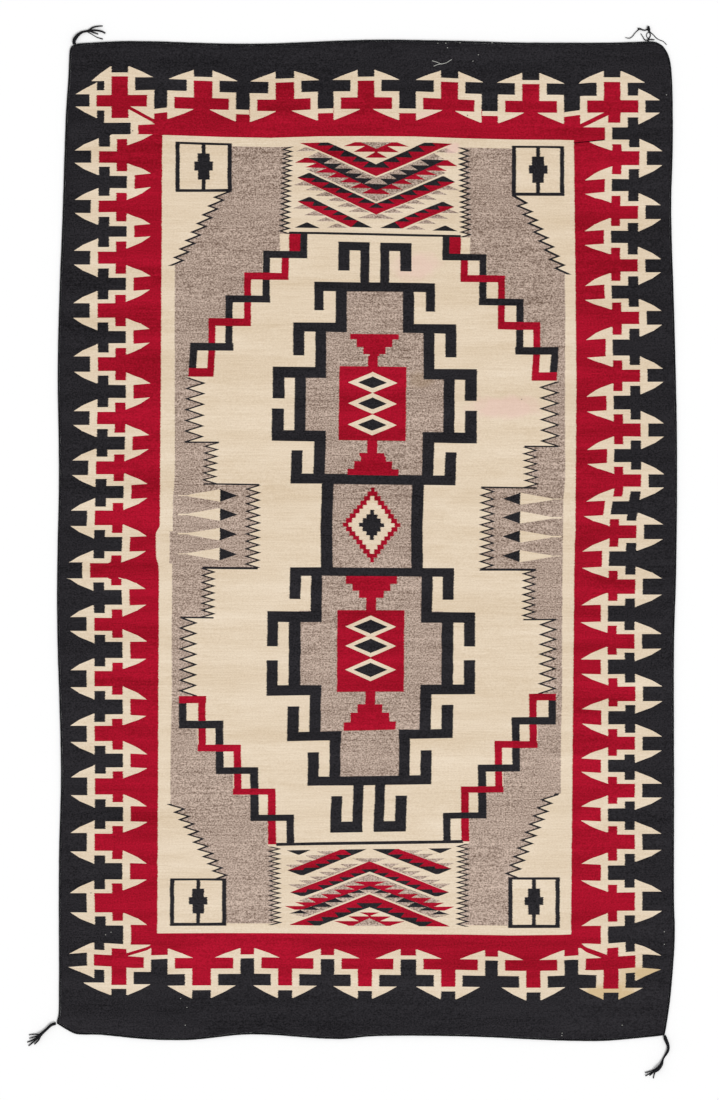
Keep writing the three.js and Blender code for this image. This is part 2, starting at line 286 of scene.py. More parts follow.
# %% End border sizes
# Levels, from the outside of the rug inwards, as distances from its middle.
TOP_LEVELS = dict(apex=1123, cap=1107.5, arm=1098, tip=1100, cross=1071, line=1057, foot=1028.5)
TOP_LEVELS |= dict(stem=1030.5, stem_cap=1020.5, inner_apex=1003)
FOOT_LEVELS = dict(apex=1100, cap=1080.7, arm=1069.7, tip=1069.7, cross=1042.3, line=1030.3, foot=1004.4)
FOOT_LEVELS |= dict(stem=1005.2, stem_cap=997, inner_apex=981)

# A unit's arm middle and half width, and the two ends of its crossbar.
TOP_UNITS = [(-393, 22.3, -462, -331.5), (-197, 22.4, -264, -135), (-2.5, 20, -63, 60.5)]
TOP_UNITS += [(198, 20.8, 134.5, 257.5), (392.7, 20.8, 331, 455.5)]
FOOT_UNITS = [(-397, 22.7, -461, -320.5), (-196.5, 17, -253.5, -128), (-5, 17, -61.5, 63.5)]
FOOT_UNITS += [(194.6, 17.2, 135, 266), (399, 17, 331, 456.5)]
END_BAR = 17  # the cream line's width where it runs along the rug
OUTER_REACH = 60  # from the side of an arm to the tip of its arrowhead
INNER_REACH = 46  # from the end of a crossbar to the tip of its arrowhead
STEM_OVERLAP = 4  # how far a black stem reaches under the cream lines beside it


def end_border(end, levels, units):
    """The meander of one end. end is 1 at the top and -1 at the foot."""

    def layer(yarn, outer, inner, left, right):
        low, high = sorted((end * levels[outer], end * levels[inner]))
        patch(yarn, low, high, left, right)

    for middle, half, left, right in units:
        layer(CREAM, "cap", "cross", middle - half - END_BAR, middle + half + END_BAR)
        layer(BLACK, "cap", "tip", middle - half - END_BAR, middle - half)
        layer(BLACK, "cap", "tip", middle + half, middle + half + END_BAR)
        layer(CREAM, "cross", "line", left - END_BAR, right + END_BAR)
        layer(CREAM, "line", "foot", left - END_BAR, right + END_BAR)
        layer(RED, "line", "foot", left, right)
        layer(RED, "arm", "line", middle - half, middle + half)
        outer = (end * levels["tip"], end * levels["apex"])
        inner = (end * levels["foot"], end * levels["inner_apex"])
        for way, side, bar_end in ((-1, middle - half, left), (1, middle + half, right)):
            arrow_half(patch, *outer, side, side + way * OUTER_REACH)
            arrow_half(patch, *inner, bar_end + way * END_BAR, bar_end - way * INNER_REACH)


def end_gaps(end, levels, edges):
    """The black stems between the units, each closed by a cream cap. edges are the units' sides."""
    for left, right in edges:
        low, high = sorted((end * levels["cross"], end * levels["stem"]))
        patch(BLACK, low, high, left - STEM_OVERLAP, right + STEM_OVERLAP)
        low, high = sorted((end * levels["stem"], end * levels["stem_cap"]))
        patch(CREAM, low, high, left - STEM_OVERLAP, right + STEM_OVERLAP)


# %% [markdown]
# ## The corner crosses
# At each corner the two borders meet in a red cross. Its cream outline has four arrowheads outside
# and two inside, parted by one thin red line. One function makes all four, in sizes measured inwards
# and across from the middle of the cross.

# %% Corner crosses
# side and end say which corner, then the cross's middle and how far its bars reach out, inwards, to
# the end of the rug (up) and away from it (down). bar and half are half the widths of the crossbar
# and of the upright. foot_in is the inner side of the upright past the crossbar. side_tip and
# end_tips (outer, inner) are how far the arrowheads reach, gap and end_drop how far they lie off the bar.
CORNERS = [
    dict(side=-1, end=1, x=593, y=1053, out=56, inward=65.5, up=57, bar=14, half=20, foot_in=21, down=42.5,
         side_tip=50, gap=0, end_tips=(48, 62), end_drop=8),
    dict(side=1, end=1, x=588, y=1038.5, out=63, inward=60, up=60, bar=14.5, half=20, foot_in=10, down=39,
         side_tip=51, gap=0, end_tips=(58, 60), end_drop=0),
    dict(side=-1, end=-1, x=595, y=1011.5, out=60, inward=60, up=56, bar=13.5, half=18, foot_in=18, down=31,
         side_tip=61, gap=2, end_tips=(67, 60), end_drop=2),
    dict(side=1, end=-1, x=585, y=1017, out=59, inward=61, up=60, bar=14.5, half=18, foot_in=9, down=37,
         side_tip=62, gap=2, end_tips=(60, 60), end_drop=0),
]
CORNER_LINE = 17  # the cream line beside an upright bar
CORNER_CAP = 9.5  # the cream cap on the outer end of the upright
CORNER_FOOT = 11  # the cream line under the inner end of the upright
SIDE_ARROW = 28  # from the crossbar to the blunt end of a side arrowhead
END_ARROW = 16  # how far the outer arrowheads stand out past the cap
CLOSING_ARROW = 43  # reach of the inner arrowhead under the crossbar
LAST_ARROW = 60  # and of the one at the foot of the upright
LAP = 3.5  # how far the cream cap laps over the arrowheads on both sides of it


def corner_cross(
    side, end, x, y, out, inward, up, bar, half, foot_in, down, side_tip, gap, end_tips, end_drop
):
    def arrow(base, stop, root, tip):
        arrow_half(patch, end * (y - base), end * (y - stop), side * (x - root), side * (x - tip))

    def piece(yarn, outer, inner, start, stop):
        """outer and inner run from the end of the rug inwards, start and stop from its side inwards."""
        start, stop = as_pair(start), as_pair(stop)
        low, high = end * (y - outer), end * (y - inner)
        if low > high:
            low, high = high, low
            start, stop = start[::-1], stop[::-1]
        left = tuple(side * (x - value) for value in start)
        right = tuple(side * (x - value) for value in stop)
        if side > 0:
            left, right = right, left
        patch(yarn, low, high, left, right)

    cap = up + CORNER_CAP
    line = half + CORNER_LINE
    foot = down + CORNER_FOOT
    piece(CREAM, -cap, -bar - CREAM_LINE, -line, line)
    piece(BLACK, -cap, -up + 1, -line, -half)
    piece(BLACK, -cap, -up + 1, half, line)
    arrow(-up + 2 + end_drop, -cap - END_ARROW, -half, -half - end_tips[0])
    arrow(-up + 2, -cap - END_ARROW, half, half + end_tips[1])
    piece(CREAM, -bar - CREAM_LINE, bar + CREAM_LINE, -out, inward)
    piece(CREAM, -bar - CREAM_LINE, bar, inward, inward + END_BAR)
    piece(CREAM, -bar - LAP, bar + LAP + gap, -out - NOTCH, -out)
    arrow(-bar - 1, -bar - SIDE_ARROW, -out + 1, -out - side_tip)
    arrow(bar + 1 + gap, bar + SIDE_ARROW, -out + 1, -out - side_tip)
    piece(RED, bar, min(bar + 30, foot), foot_in - 2, inward + END_BAR)
    piece(CREAM, bar, foot, -line, foot_in)
    closing = (inward - CLOSING_ARROW, inward + END_BAR)
    piece(CREAM, bar - 1, down + 3, closing, inward + END_BAR)
    piece(CREAM, bar + 7, foot, foot_in, (foot_in, foot_in + LAST_ARROW))
    piece(RED, -up, bar, -half, half)
    piece(RED, bar, down, -half, foot_in)
    piece(RED, -bar, bar, -out, inward)


# %% [markdown]
# ## Into the chart
# The red ground goes in first. The borders lie over it, and the corner crosses over the borders' ends,
# so that each may be charted as a whole although the next one hides part of it.

# %% Weave the borders into the chart
patch(RED, -1005, 1033, -600, 600)
patch(RED, 1000, 1034, -520, 520)
side_border(-1, RED_ARMS_LEFT, BLACK_ARMS_LEFT, ARM_END_LEFT)
side_border(1, RED_ARMS_RIGHT, BLACK_ARMS_RIGHT, ARM_END_RIGHT)
TOP_STEMS = [(-508, -483), (-314, -286), (-115, -85), (80, 115.5), (280, 312), (477, 510)]
FOOT_STEMS = [(-516, -481.5), (-303, -270), (-112, -78.5), (80, 118), (282, 314), (474, 507)]
end_gaps(1, TOP_LEVELS, TOP_STEMS)
end_gaps(-1, FOOT_LEVELS, FOOT_STEMS)
end_border(1, TOP_LEVELS, TOP_UNITS)
end_border(-1, FOOT_LEVELS, FOOT_UNITS)
for corner in CORNERS:
    corner_cross(**corner)
print("border patches:", len(chart))

# %% [markdown]
# ## The field
# Inside the borders lies a cream field. Grey side figures with serrate edges, stepped lines in red
# and black, darts, and boxes in the corners frame a pair of medallions. The left and the right half
# mirror each other about a line that leans, so each figure is charted once.

# %% The cream field
FIELD_LEVELS = [FIELD_TOP, 400, 28, 12, -45, -68, -500, FIELD_FOOT]
for high, low in zip(FIELD_LEVELS, FIELD_LEVELS[1:]):
    left = (field_left(low), field_left(high))
    right = (field_right(low), field_right(high))
    patch(CREAM, low, high, left, right)
print("field levels:", len(FIELD_LEVELS))

# %% [markdown]
# ## Serrate lines
# A serrate line is a thin black weft line that steps out and back in sharp teeth. Its outline is a
# list of turning points made by a rule: a start, a finish, the number of teeth and their reach.


# %% Serrate lines
def serration(x_top, top, x_foot, foot, teeth, reach, rise=0.5):
    """Turning points from the top down. Each tooth starts at the inner side and reaches out."""
    points = []
    for tooth in range(teeth):
        along = tooth / teeth
        x = x_top + (x_foot - x_top) * along
        at = top + (foot - top) * along
        step = (foot - top) / teeth
        points.append((x, at))
        points.append((x + reach, at + step * rise))
    points.append((x_foot, foot))
    return points


def black_line(points, half, about=rug_middle):
    """A thin line of black wefts along turning points."""
    for (x_high, high), (x_low, low) in zip(points, points[1:]):
        if high - low > 1:
            patch(BLACK, low, high, (x_low - half, x_high - half), (x_low + half, x_high + half), about)


# %% [markdown]
# ## The lean of the side figures
# The inner edges of the grey figures mirror each other about one leaning line, and their straight
# outer edges about another. Heights come first in each row, then how far right of the middle it is.

# %% Where the side figures lean
INNER_LEAN = [(950, 21), (700, 19), (600, 18), (450, 17.5), (385, 13), (228, 12), (226, 8.5), (130, 8)]
INNER_LEAN += [(-68, 6), (-72, 4), (-187, 3), (-370, 1), (-440, 1), (-600, 3), (-730, 4), (-925, 4)]
OUTER_LEAN = [(950, 9), (660, 7), (150, 7), (100, 3), (-150, 0), (-385, 0), (-470, -3), (-925, -4)]


def inner_middle(at):
    return between(INNER_LEAN, at)


def outer_middle(at):
    return between(OUTER_LEAN, at)


print("lean at the top and the foot:", inner_middle(950), inner_middle(-925), "mm")

# %% [markdown]
# ## The grey side figures
# Each figure is grey from its outer edge in. The cream in the middle of the field is laid over it up to
# one long edge of teeth and stairs, and thin black lines follow the teeth.

# %% The grey side figures
FIGURE_TOP = 943
FIGURE_FOOT = -922
FIGURE_OUTSIDE = 468
THIN = 5.6  # half of what a slanting thin line takes up along a row
LEVEL = 2.1  # half of what a thin line takes up across the rows

# Turning points, as places outwards from the middle line and heights, from the top down.
PANEL_TEETH_TOP = serration(201, 942, 207, 730, 17, 21)
STAIR_EDGE_TOP = [(228, 730), (228, 688), (269, 688), (269, 637), (313, 637), (313, 582), (357, 582)]
STAIR_EDGE_TOP += [(357, 527), (398, 527), (398, 465), (442, 465), (442, 388)]
SHOULDER_TEETH = serration(444, 383, 448, 229, 6, -40)
NECK_TEETH = serration(367, 227, 372, 130, 6, 30)
MIDDLE_TEETH = serration(266, 127, 266, -69, 11, 30)
LOWER_NECK_TEETH = serration(399, -72, 399, -188, 7, -28)
LOWER_TEETH = serration(450, -190, 449, -384, 8, -36)
STAIR_EDGE_FOOT = [(452, -388), (452, -448), (408, -448), (408, -505), (365, -505), (365, -559)]
STAIR_EDGE_FOOT += [(324, -559), (324, -610), (283, -610), (283, -671), (242, -671), (242, -730)]
PANEL_TEETH_FOOT = serration(239, -733, 237, -926, 16, -25)
CENTRE_EDGE = PANEL_TEETH_TOP + STAIR_EDGE_TOP + SHOULDER_TEETH + NECK_TEETH + MIDDLE_TEETH
CENTRE_EDGE += LOWER_NECK_TEETH + LOWER_TEETH + STAIR_EDGE_FOOT + PANEL_TEETH_FOOT

patch(GREY, FIGURE_FOOT, FIGURE_TOP, -FIGURE_OUTSIDE, FIGURE_OUTSIDE, outer_middle)
patch(GREY, -60, 16, -FIGURE_OUTSIDE - 7, -440, outer_middle)
area(CREAM, mirrored(CENTRE_EDGE), CENTRE_EDGE, inner_middle)
patch(CREAM, FIELD_FOOT, FIGURE_FOOT, field_left(-925), field_right(-925))

ALL_TEETH = [PANEL_TEETH_TOP, SHOULDER_TEETH, NECK_TEETH, MIDDLE_TEETH, LOWER_NECK_TEETH, LOWER_TEETH]
ALL_TEETH += [PANEL_TEETH_FOOT]
for line in ALL_TEETH:
    black_line(line, THIN, inner_middle)
    black_line(mirrored(line), THIN, inner_middle)
# The level lines between two serrate lines, from near the middle outwards, at a height.
for near, far, at in [(366, 448, 228), (266, 400, 129), (266, 400, -70.5), (371, 450, -189)]:
    pair_of_patches(BLACK, at - LEVEL, at + LEVEL, near, far, inner_middle)
print("turning points of the inner edge:", len(CENTRE_EDGE))

# %% [markdown]
# ## The corners of the field
# In each corner stands a box with a stepped figure on a stem. A serrate line runs from the box down
# or up to the side, with cream outside it and grey inside. The four were woven at different times,
# so each has its own row in the tables.

# %% Corner boxes and the lines that leave them
# The middle, half the width, the top and the foot of each box.
BOXES = [(-391.8, 67.8, 950.5, 826), (410.2, 63.1, 950.5, 832)]
BOXES += [(-405, 67.8, -811, -927), (400.4, 62, -811, -927)]
BOX_POST = 10.5
BOX_BEAM = 6.5
# The figure's tiers: from and to, as shares of the box's height, and half the width.
BOX_TIERS = [(0.225, 0.4, 14.6), (0.4, 0.567, 22.3), (0.567, 0.753, 14)]

CORNER_LINES = [
    dict(side=-1, first=(-331, 826), line=serration(-365, 813, -475, 651, 8, 20, 0.32)),
    dict(side=1, first=(352, 831), line=serration(382, 815, 485, 641, 8, -20, 0.32)),
    dict(side=-1, first=(-475, -631), line=serration(-472, -634, -358, -811, 10, 33, 0.55)),
    dict(side=1, first=(456, -612), line=serration(452, -616, 358, -811, 10, -33, 0.55)),
]
for corner in CORNER_LINES:
    line = [corner["first"]] + corner["line"]
    outside = [(corner["side"] * 484, line[0][1]), (corner["side"] * 484, line[-1][1])]
    if corner["side"] < 0:
        area(CREAM, outside, line)
    else:
        area(CREAM, line, outside)
    black_line(line, THIN)

for middle, half, high, low in BOXES:
    margin = (-8, 0) if middle < 0 else (0, 8)
    patch(CREAM, low, high, middle - half + margin[0], middle + half + margin[1])
    patch(BLACK, low, high, middle - half, middle + half)
    patch(CREAM, low + BOX_BEAM, high - BOX_BEAM, middle - half + BOX_POST, middle + half - BOX_POST)
    patch(BLACK, low, high, middle - 4.8, middle + 4.8)
    for start, stop, tier in BOX_TIERS:
        top, foot = high - (high - low) * start, high - (high - low) * stop
        patch(BLACK, foot, top, middle - tier, middle + tier)
print("patches with the boxes:", len(chart))

# %% [markdown]
# ## Stepped lines
# From the ends of each end panel two stepped lines, one red and one black, climb to the sides of
# the field and weave through each other, with cream squares between them. The level bars always lie
# over the upright bars of the other colour.

# %% Stairs
# Each bar is its yarn, top, foot, and inner and outer side, measured from the leaning middle.
UPPER_POSTS = [(RED, 730, 680, 179, 206), (BLACK, 730, 673, 162, 179), (BLACK, 688, 568, 251, 268.5)]
UPPER_POSTS += [(RED, 680, 622, 206, 223.5), (RED, 637, 509, 296, 313), (BLACK, 582, 450, 340, 357.5)]
UPPER_POSTS += [(RED, 527, 388.5, 381, 398), (BLACK, 465, 400, 424, 442)]
UPPER_BEAMS = [(BLACK, 688, 672, 162, 268.5), (RED, 637, 620.5, 206, 313), (BLACK, 582.5, 565, 250, 357.5)]
UPPER_BEAMS += [(RED, 527, 507.5, 296, 398), (BLACK, 466.5, 448, 338, 442), (RED, 405.5, 385, 381, 442)]
LOWER_POSTS = [(BLACK, -388, -440, 434, 452.5), (RED, -375, -500, 388, 406), (BLACK, -435, -555, 346, 365)]
LOWER_POSTS += [(RED, -490, -605, 304, 322), (BLACK, -545, -668, 263, 283), (RED, -598, -728, 222, 241.5)]
LOWER_POSTS += [(BLACK, -660, -728, 178.5, 197)]
LOWER_BEAMS = [(RED, -372.5, -388.5, 387, 452.5)]
LOWER_BEAMS += [(BLACK, -431, -448, 345, 452), (RED, -488, -505, 304, 408)]
LOWER_BEAMS += [(BLACK, -543, -559, 263, 365), (RED, -595.5, -609.5, 222, 324.5)]
LOWER_BEAMS += [(BLACK, -657, -671.5, 178.5, 283.5)]
for yarn, high, low, near, far in UPPER_POSTS + UPPER_BEAMS + LOWER_POSTS + LOWER_BEAMS:
    pair_of_patches(yarn, low, high, near, far, inner_middle)
print("patches with the stairs:", len(chart))

# %% [markdown]
# ## Darts
# Four darts lie in the waist of each side figure: a long cream spear that points outwards and a
# short black triangle that points inwards, with one base between them.

# %% Darts
DART_HEIGHTS = [101.5, 56.4, 9.8, -37.2]
DART_BASE = 360
DART_HALF = 15
SPEAR_NECK = 436
SPEAR_TIP = 460
TRIANGLE_TIP = 317.5
for at in DART_HEIGHTS:
    pair_of_patches(CREAM, at + 2, at + DART_HALF, DART_BASE, (SPEAR_NECK, DART_BASE), inner_middle)
    pair_of_patches(CREAM, at - DART_HALF, at - 2, DART_BASE, (DART_BASE, SPEAR_NECK), inner_middle)
    pair_of_patches(CREAM, at - 2, at + 2, DART_BASE, SPEAR_NECK, inner_middle)
    pair_of_patches(CREAM, at - 1.3, at + 1.3, SPEAR_NECK, SPEAR_TIP, inner_middle)
    pair_of_patches(BLACK, at, at + DART_HALF, (TRIANGLE_TIP, DART_BASE), DART_BASE, inner_middle)
    pair_of_patches(BLACK, at - DART_HALF, at, (DART_BASE, TRIANGLE_TIP), DART_BASE, inner_middle)
print("darts on each side:", len(DART_HEIGHTS))

# %% [markdown]
# ## The end panels
# Each end panel holds nested chevrons that point to the middle of the rug. A chevron is a red band
# with a black edge that bites into it in teeth. One chevron in each panel has red teeth on one side
# of a spine and black teeth on the other. Rows of small grey triangles fill the cream between.
# Everything is measured from the panel's outer end (its depth) and from the panel's middle.

# %% Panel rules
PANEL_TOP = dict(end=1, start=950, middle=22)
PANEL_FOOT = dict(end=-1, start=-925, middle=6)


def wing(panel, yarn, outer, inner):
    """An area on both sides of a panel's middle, between lines of (half place, depth) points."""
    inner = inner + [(0, outer[-1][1])] if inner[-1][1] < outer[-1][1] else inner

    def placed(line):
        turned = [(half, panel["start"] - panel["end"] * depth) for half, depth in line]
        return turned if panel["end"] > 0 else turned[::-1]

    def panel_middle(at):
        return panel["middle"]

    outer, inner = placed(outer), placed(inner)
    area(yarn, inner, outer, panel_middle)
    area(yarn, mirrored(outer), mirrored(inner), panel_middle)


def biting(start, tips, base):
    """A toothed line: from each tip it runs straight inwards, then slants out to the next."""
    line = [start]
    for half, depth in tips:
        line += [(half, depth), (max(half - base, 0), depth)]
    return line


def chevron(panel, near, far, start, tips, base):
    """A red band from its near edge to its far edge, with black teeth along the near edge."""
    wing(panel, RED, far, near)
    wing(panel, BLACK, biting(start, tips, base), near)


def grey_triangles(panel, first, count, step):
    for k in range(count):
        half, depth = first[0] + k * step[0], first[1] + k * step[1]
        apex = (half - 22, depth - 10.5)
        wing(panel, GREY, [apex, (half + 4, depth)], [apex, (half - 47, depth)])


# %% [markdown]
# ## The top panel's rows
# From the outer end inwards: the grey underneath, four chevrons, and the small crest at the end.

# %% The top panel
grey_triangles(PANEL_TOP, (189, 21), 1, (0, 0))
wing(
    PANEL_TOP,
    GREY,
    [(139, 23), (164, 36), (150, 36), (150, 60), (167, 66), (0, 139)],
    [(139, 23), (0, 82)],
)
grey_triangles(PANEL_TOP, (195, 105.5), 6, (-26.4, 11.9))
wing(PANEL_TOP, GREY, [(13, 169), (46, 180)], [(0, 169)])
grey_triangles(PANEL_TOP, (195, 161), 4, (-26.4, 14.4))
chevron(
    PANEL_TOP,
    near=[(116, 0), (0, 50)],
    far=[(184, 0), (0, 78)],
    start=(134, 0),
    tips=[(143, 8.5), (117, 20), (87, 33), (58, 45), (33, 58)],
    base=41,
)
SPINE_TOP = [(163, 38), (0, 112)]
TIPS_TOP = [(195, 50), (171, 61.5), (146, 72), (118, 84), (89, 95.5), (64, 108), (34, 120)]
wing(PANEL_TOP, RED, biting((172, 38), TIPS_TOP, 52), SPINE_TOP)
STEPS_TOP = [(106, 38), (126, 49.5), (80, 49.5), (100, 61), (54, 61), (74, 72.5), (31, 72.5)]
STEPS_TOP += [(51, 84), (9, 84), (29, 97), (0, 97)]
wing(PANEL_TOP, BLACK, SPINE_TOP, STEPS_TOP)
chevron(
    PANEL_TOP,
    near=[(158, 74.5), (0, 143.5)],
    far=[(163, 74.5), (190, 87), (0, 170)],
    start=(163, 74.5),
    tips=[(190, 87), (157, 97), (130, 109), (100, 121), (72, 132), (46, 143.5), (20, 154.5)],
    base=44,
)
chevron(
    PANEL_TOP,
    near=[(157, 134), (9, 202)],
    far=[(163, 134), (188.5, 145), (62, 202)],
    start=(163, 134),
    tips=[(188.5, 145), (153, 153.5), (129, 163), (106, 174), (83, 186), (60, 202)],
    base=40,
)
wing(PANEL_TOP, BLACK, [(166, 192), (196, 205.5)], [(166, 192), (135, 205.5)])
CREST = [(50, 0), (78, 9.5), (27, 9.5), (54, 22), (4, 22), (4, 24), (26, 35)]
wing(PANEL_TOP, RED, CREST, [(0, 0)])
wing(PANEL_TOP, GREY, [(38, 0), (0, 16)], [(0, 0)])
print("patches with the top panel:", len(chart))

# %% [markdown]
# ## The foot panel's rows
# The same plan in the other direction, with the sizes that this end has.

# %% The foot panel
wing(
    PANEL_FOOT,
    GREY,
    [(140, 16), (188, 25), (160, 25), (160, 57), (171, 58), (0, 123)],
    [(161, 16), (0, 78)],
)
grey_triangles(PANEL_FOOT, (191, 98.5), 6, (-24, 9.9))
wing(PANEL_FOOT, GREY, [(12, 150), (42, 160)], [(0, 150)])
grey_triangles(PANEL_FOOT, (199, 147), 4, (-24.5, 10.8))
chevron(
    PANEL_FOOT,
    near=[(119, 0), (0, 43)],
    far=[(192, 0), (0, 74)],
    start=(134, 0),
    tips=[(152, 10), (116, 20), (84, 30), (58, 42), (31, 52)],
    base=41,
)
SPINE_FOOT = [(194, 26.5), (171, 34), (0, 94)]
TIPS_FOOT = [(203, 45), (179, 54.5), (148, 65), (118, 75.5), (85, 85.5), (62, 95.5), (40, 105)]
wing(PANEL_FOOT, RED, biting((178, 35.5), TIPS_FOOT, 50), SPINE_FOOT)
STEPS_FOOT = [(146, 26.5), (166, 35.5), (117, 35.5), (137, 44), (89, 44), (108, 55), (62, 55), (82, 65)]
STEPS_FOOT += [(35, 65), (54, 76), (9, 76), (26, 85), (0, 85)]
wing(PANEL_FOOT, BLACK, SPINE_FOOT, STEPS_FOOT)
chevron(
    PANEL_FOOT,
    near=[(158, 69), (0, 128.5)],
    far=[(163, 69), (190.5, 79), (0, 153)],
    start=(163, 68.5),
    tips=[(190.5, 78.5), (149, 87), (124, 96.5), (99, 106), (73, 116), (47, 125), (22, 135)],
    base=38,
)
chevron(
    PANEL_FOOT,
    near=[(160, 120.5), (7, 182)],
    far=[(164, 120.5), (197, 133.5), (70, 182)],
    start=(164, 120.5),
    tips=[(197, 133.5), (156, 139), (131, 148.5), (106, 158.5), (81, 169), (61, 182)],
    base=38,
)
wing(PANEL_FOOT, BLACK, [(170, 170.5), (198, 182)], [(170, 170.5), (141, 182)])
CREST = [(50, 0), (86, 10.5), (26, 10.5), (51, 21), (3, 21), (3, 23), (25, 31)]
wing(PANEL_FOOT, RED, CREST, [(0, 0)])
wing(PANEL_FOOT, GREY, [(39, 0), (0, 17)], [(0, 0)])
print("patches with the foot panel:", len(chart))

# %% [markdown]
# ## The lines that close the panels
# A black line parts each panel from the field. It is one level patch, a little longer on one side at
# the foot.

# %% The lines that close the panels
patch(BLACK, 729, 735.5, -206, 206, inner_middle)
patch(BLACK, -731, -724.5, -222, 226, inner_middle)

# %% [markdown]
# ## The medallions
# Two stepped medallions stand above and below a box in the middle of the rug. Thick black bars with
# hooked ends step out and in again, grey fills the inside, and a red figure stands in each, cream
# diamonds with black hearts down its middle.

# %% Medallion bars
# Each bar is its top, its foot, and its inner and outer side, on both sides of the middle.
UPPER_BARS = [(713, 692.5, 12.5, 88), (713, 645, 60.5, 88), (713, 598, 13, 35), (617, 595.5, 0, 145)]
UPPER_BARS += [(617, 549, 122.5, 145), (598, 496, 67, 94), (518.5, 496, 68, 196), (518.5, 439, 169, 196)]
UPPER_BARS += [(518.5, 386, 116.5, 143), (411.5, 386, 117, 245), (411.5, 336, 216, 245)]
UPPER_BARS += [(411.5, 234.5, 165, 192), (311.5, 234.5, 217, 246), (259.5, 234.5, 117, 246)]
UPPER_BARS += [(259.5, 133, 116, 144), (211.8, 133, 171, 198), (156, 133, 0, 198)]
MIDDLE_BARS = [(140, -70, 94, 122.5)]
LOWER_BARS = [(-67.5, -88.5, 0, 197), (-67.5, -143, 170, 197), (-67.5, -198, 119, 146)]
LOWER_BARS += [(-172.5, -198, 119, 249.5), (-172.5, -257, 223, 249.5), (-172.5, -372, 169, 197.5)]
LOWER_BARS += [(-289, -372, 223, 250), (-349, -372, 119, 250), (-349, -480, 118.5, 146)]
LOWER_BARS += [(-398, -480, 171, 199), (-457, -480, 69, 199), (-457, -588.5, 70, 96.5)]
LOWER_BARS += [(-507.5, -588.5, 122, 148.5), (-567, -588.5, 0, 148.5), (-588, -702, 13.5, 38)]
LOWER_BARS += [(-615.5, -702, 64, 91), (-675.5, -702, 13.5, 91)]
# What the bars enclose: top, foot and half width.
GREY_INSIDE = [(598, 496, 70), (496, 388.5, 120), (388.5, 259, 170), (259, 150, 120), (150, -80, 100)]
GREY_INSIDE += [(-80, -172, 122), (-172, -350, 172), (-350, -458, 122), (-458, -570, 75)]
for high, low, half in GREY_INSIDE:
    patch(GREY, low, high, -half, half, motif_middle)
for high, low, near, far in UPPER_BARS + MIDDLE_BARS + LOWER_BARS:
    pair_of_patches(BLACK, low, high, near, far, motif_middle)
print("patches with the medallions:", len(chart))

# %% [markdown]
# ## What the medallions hold
# A red stepped figure with three diamonds stands in each, and a stepped diamond in the box between.

# %% Red figures, diamonds and the box in the middle


def red_middle(at):
    return motif_middle(at) - (5 if 200 < at < 440 else 1)


def diamond(yarn, at, half, rise, about=red_middle):
    """A plain diamond, woven as two sloping halves on each side."""
    patch(yarn, at, at + rise, (-half, 0), (half, 0), about)
    patch(yarn, at - rise, at, (0, -half), (0, half), about)


def stepped_diamond(yarn, at, steps, first, more, rise):
    """A diamond with stepped sides: its tip is `first` to each side, each step `more` wider."""
    for k in range(1 - steps, steps):
        half = first + more * (steps - 1 - abs(k))
        middle = at + k * rise
        patch(yarn, middle - rise / 2, middle + rise / 2, -half, half, motif_middle)


# Each row is top, foot and half width.
UPPER_FIGURE = [(492.5, 479, 58.5), (479, 462, 43), (462, 444, 27), (444, 415, 12), (415.5, 237.5, 80.5)]
UPPER_FIGURE += [(237.5, 208, 12), (208, 188, 30), (188, 170, 45.5), (170, 155, 61.5)]
LOWER_FIGURE = [(-88.5, -106, 61.5), (-106, -123.5, 45.5), (-123.5, -139, 30), (-139, -169, 12)]
LOWER_FIGURE += [(-169, -365.5, 80.5), (-365.5, -394.5, 12), (-394.5, -416, 30), (-416, -437, 46.5)]
LOWER_FIGURE += [(-437, -457, 62.5)]
for high, low, half in UPPER_FIGURE + LOWER_FIGURE:
    patch(RED, low, high, -half, half, red_middle)
for at in (376.5, 326.5, 275):
    diamond(CREAM, at, 59, 25)
    diamond(BLACK, at, 35, 14)
for at in (-209, -255, -312.5):
    diamond(CREAM, at, 61, 27)
    diamond(BLACK, at, 41, 17)
stepped_diamond(RED, 35.3, 9, 4.3, 8.15, 10.6)
stepped_diamond(CREAM, 35.3, 7, 4.8, 8.4, 10.6)
stepped_diamond(BLACK, 35.3, 4, 4.8, 8.4, 10.2)
print("patches in the chart:", len(chart))

# %% [markdown]
# ## The outline of the cloth
# A handwoven rug is never quite square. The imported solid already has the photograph's uneven edges,
# so its outline is read from the frame and parted into its four sides at the corners.

# %% The four edges, in millimetres


def outline_points(node):
    """The points around the top face of a flat solid, in order around its middle."""
    points = [vertex.co / MM for vertex in node.data.vertices]
    top = max(point.z for point in points)
    around = {(round(point.x, 2), round(point.y, 2)) for point in points if point.z > top - 0.5}
    return sorted(around, key=lambda point: math.atan2(point[1], point[0]))


loop = outline_points(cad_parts["rug_body"])
corner_at = {(sx, sy): max(loop, key=lambda p: sx * p[0] + sy * p[1]) for sx in (-1, 1) for sy in (-1, 1)}


def loop_part(start, stop):
    first = loop.index(start)
    turned = loop[first:] + loop[:first]
    return turned[: turned.index(stop) + 1]


EDGE_RIGHT = loop_part(corner_at[1, -1], corner_at[1, 1])
EDGE_TOP = loop_part(corner_at[1, 1], corner_at[-1, 1])
EDGE_LEFT = loop_part(corner_at[-1, 1], corner_at[-1, -1])
EDGE_FOOT = loop_part(corner_at[-1, -1], corner_at[1, -1])


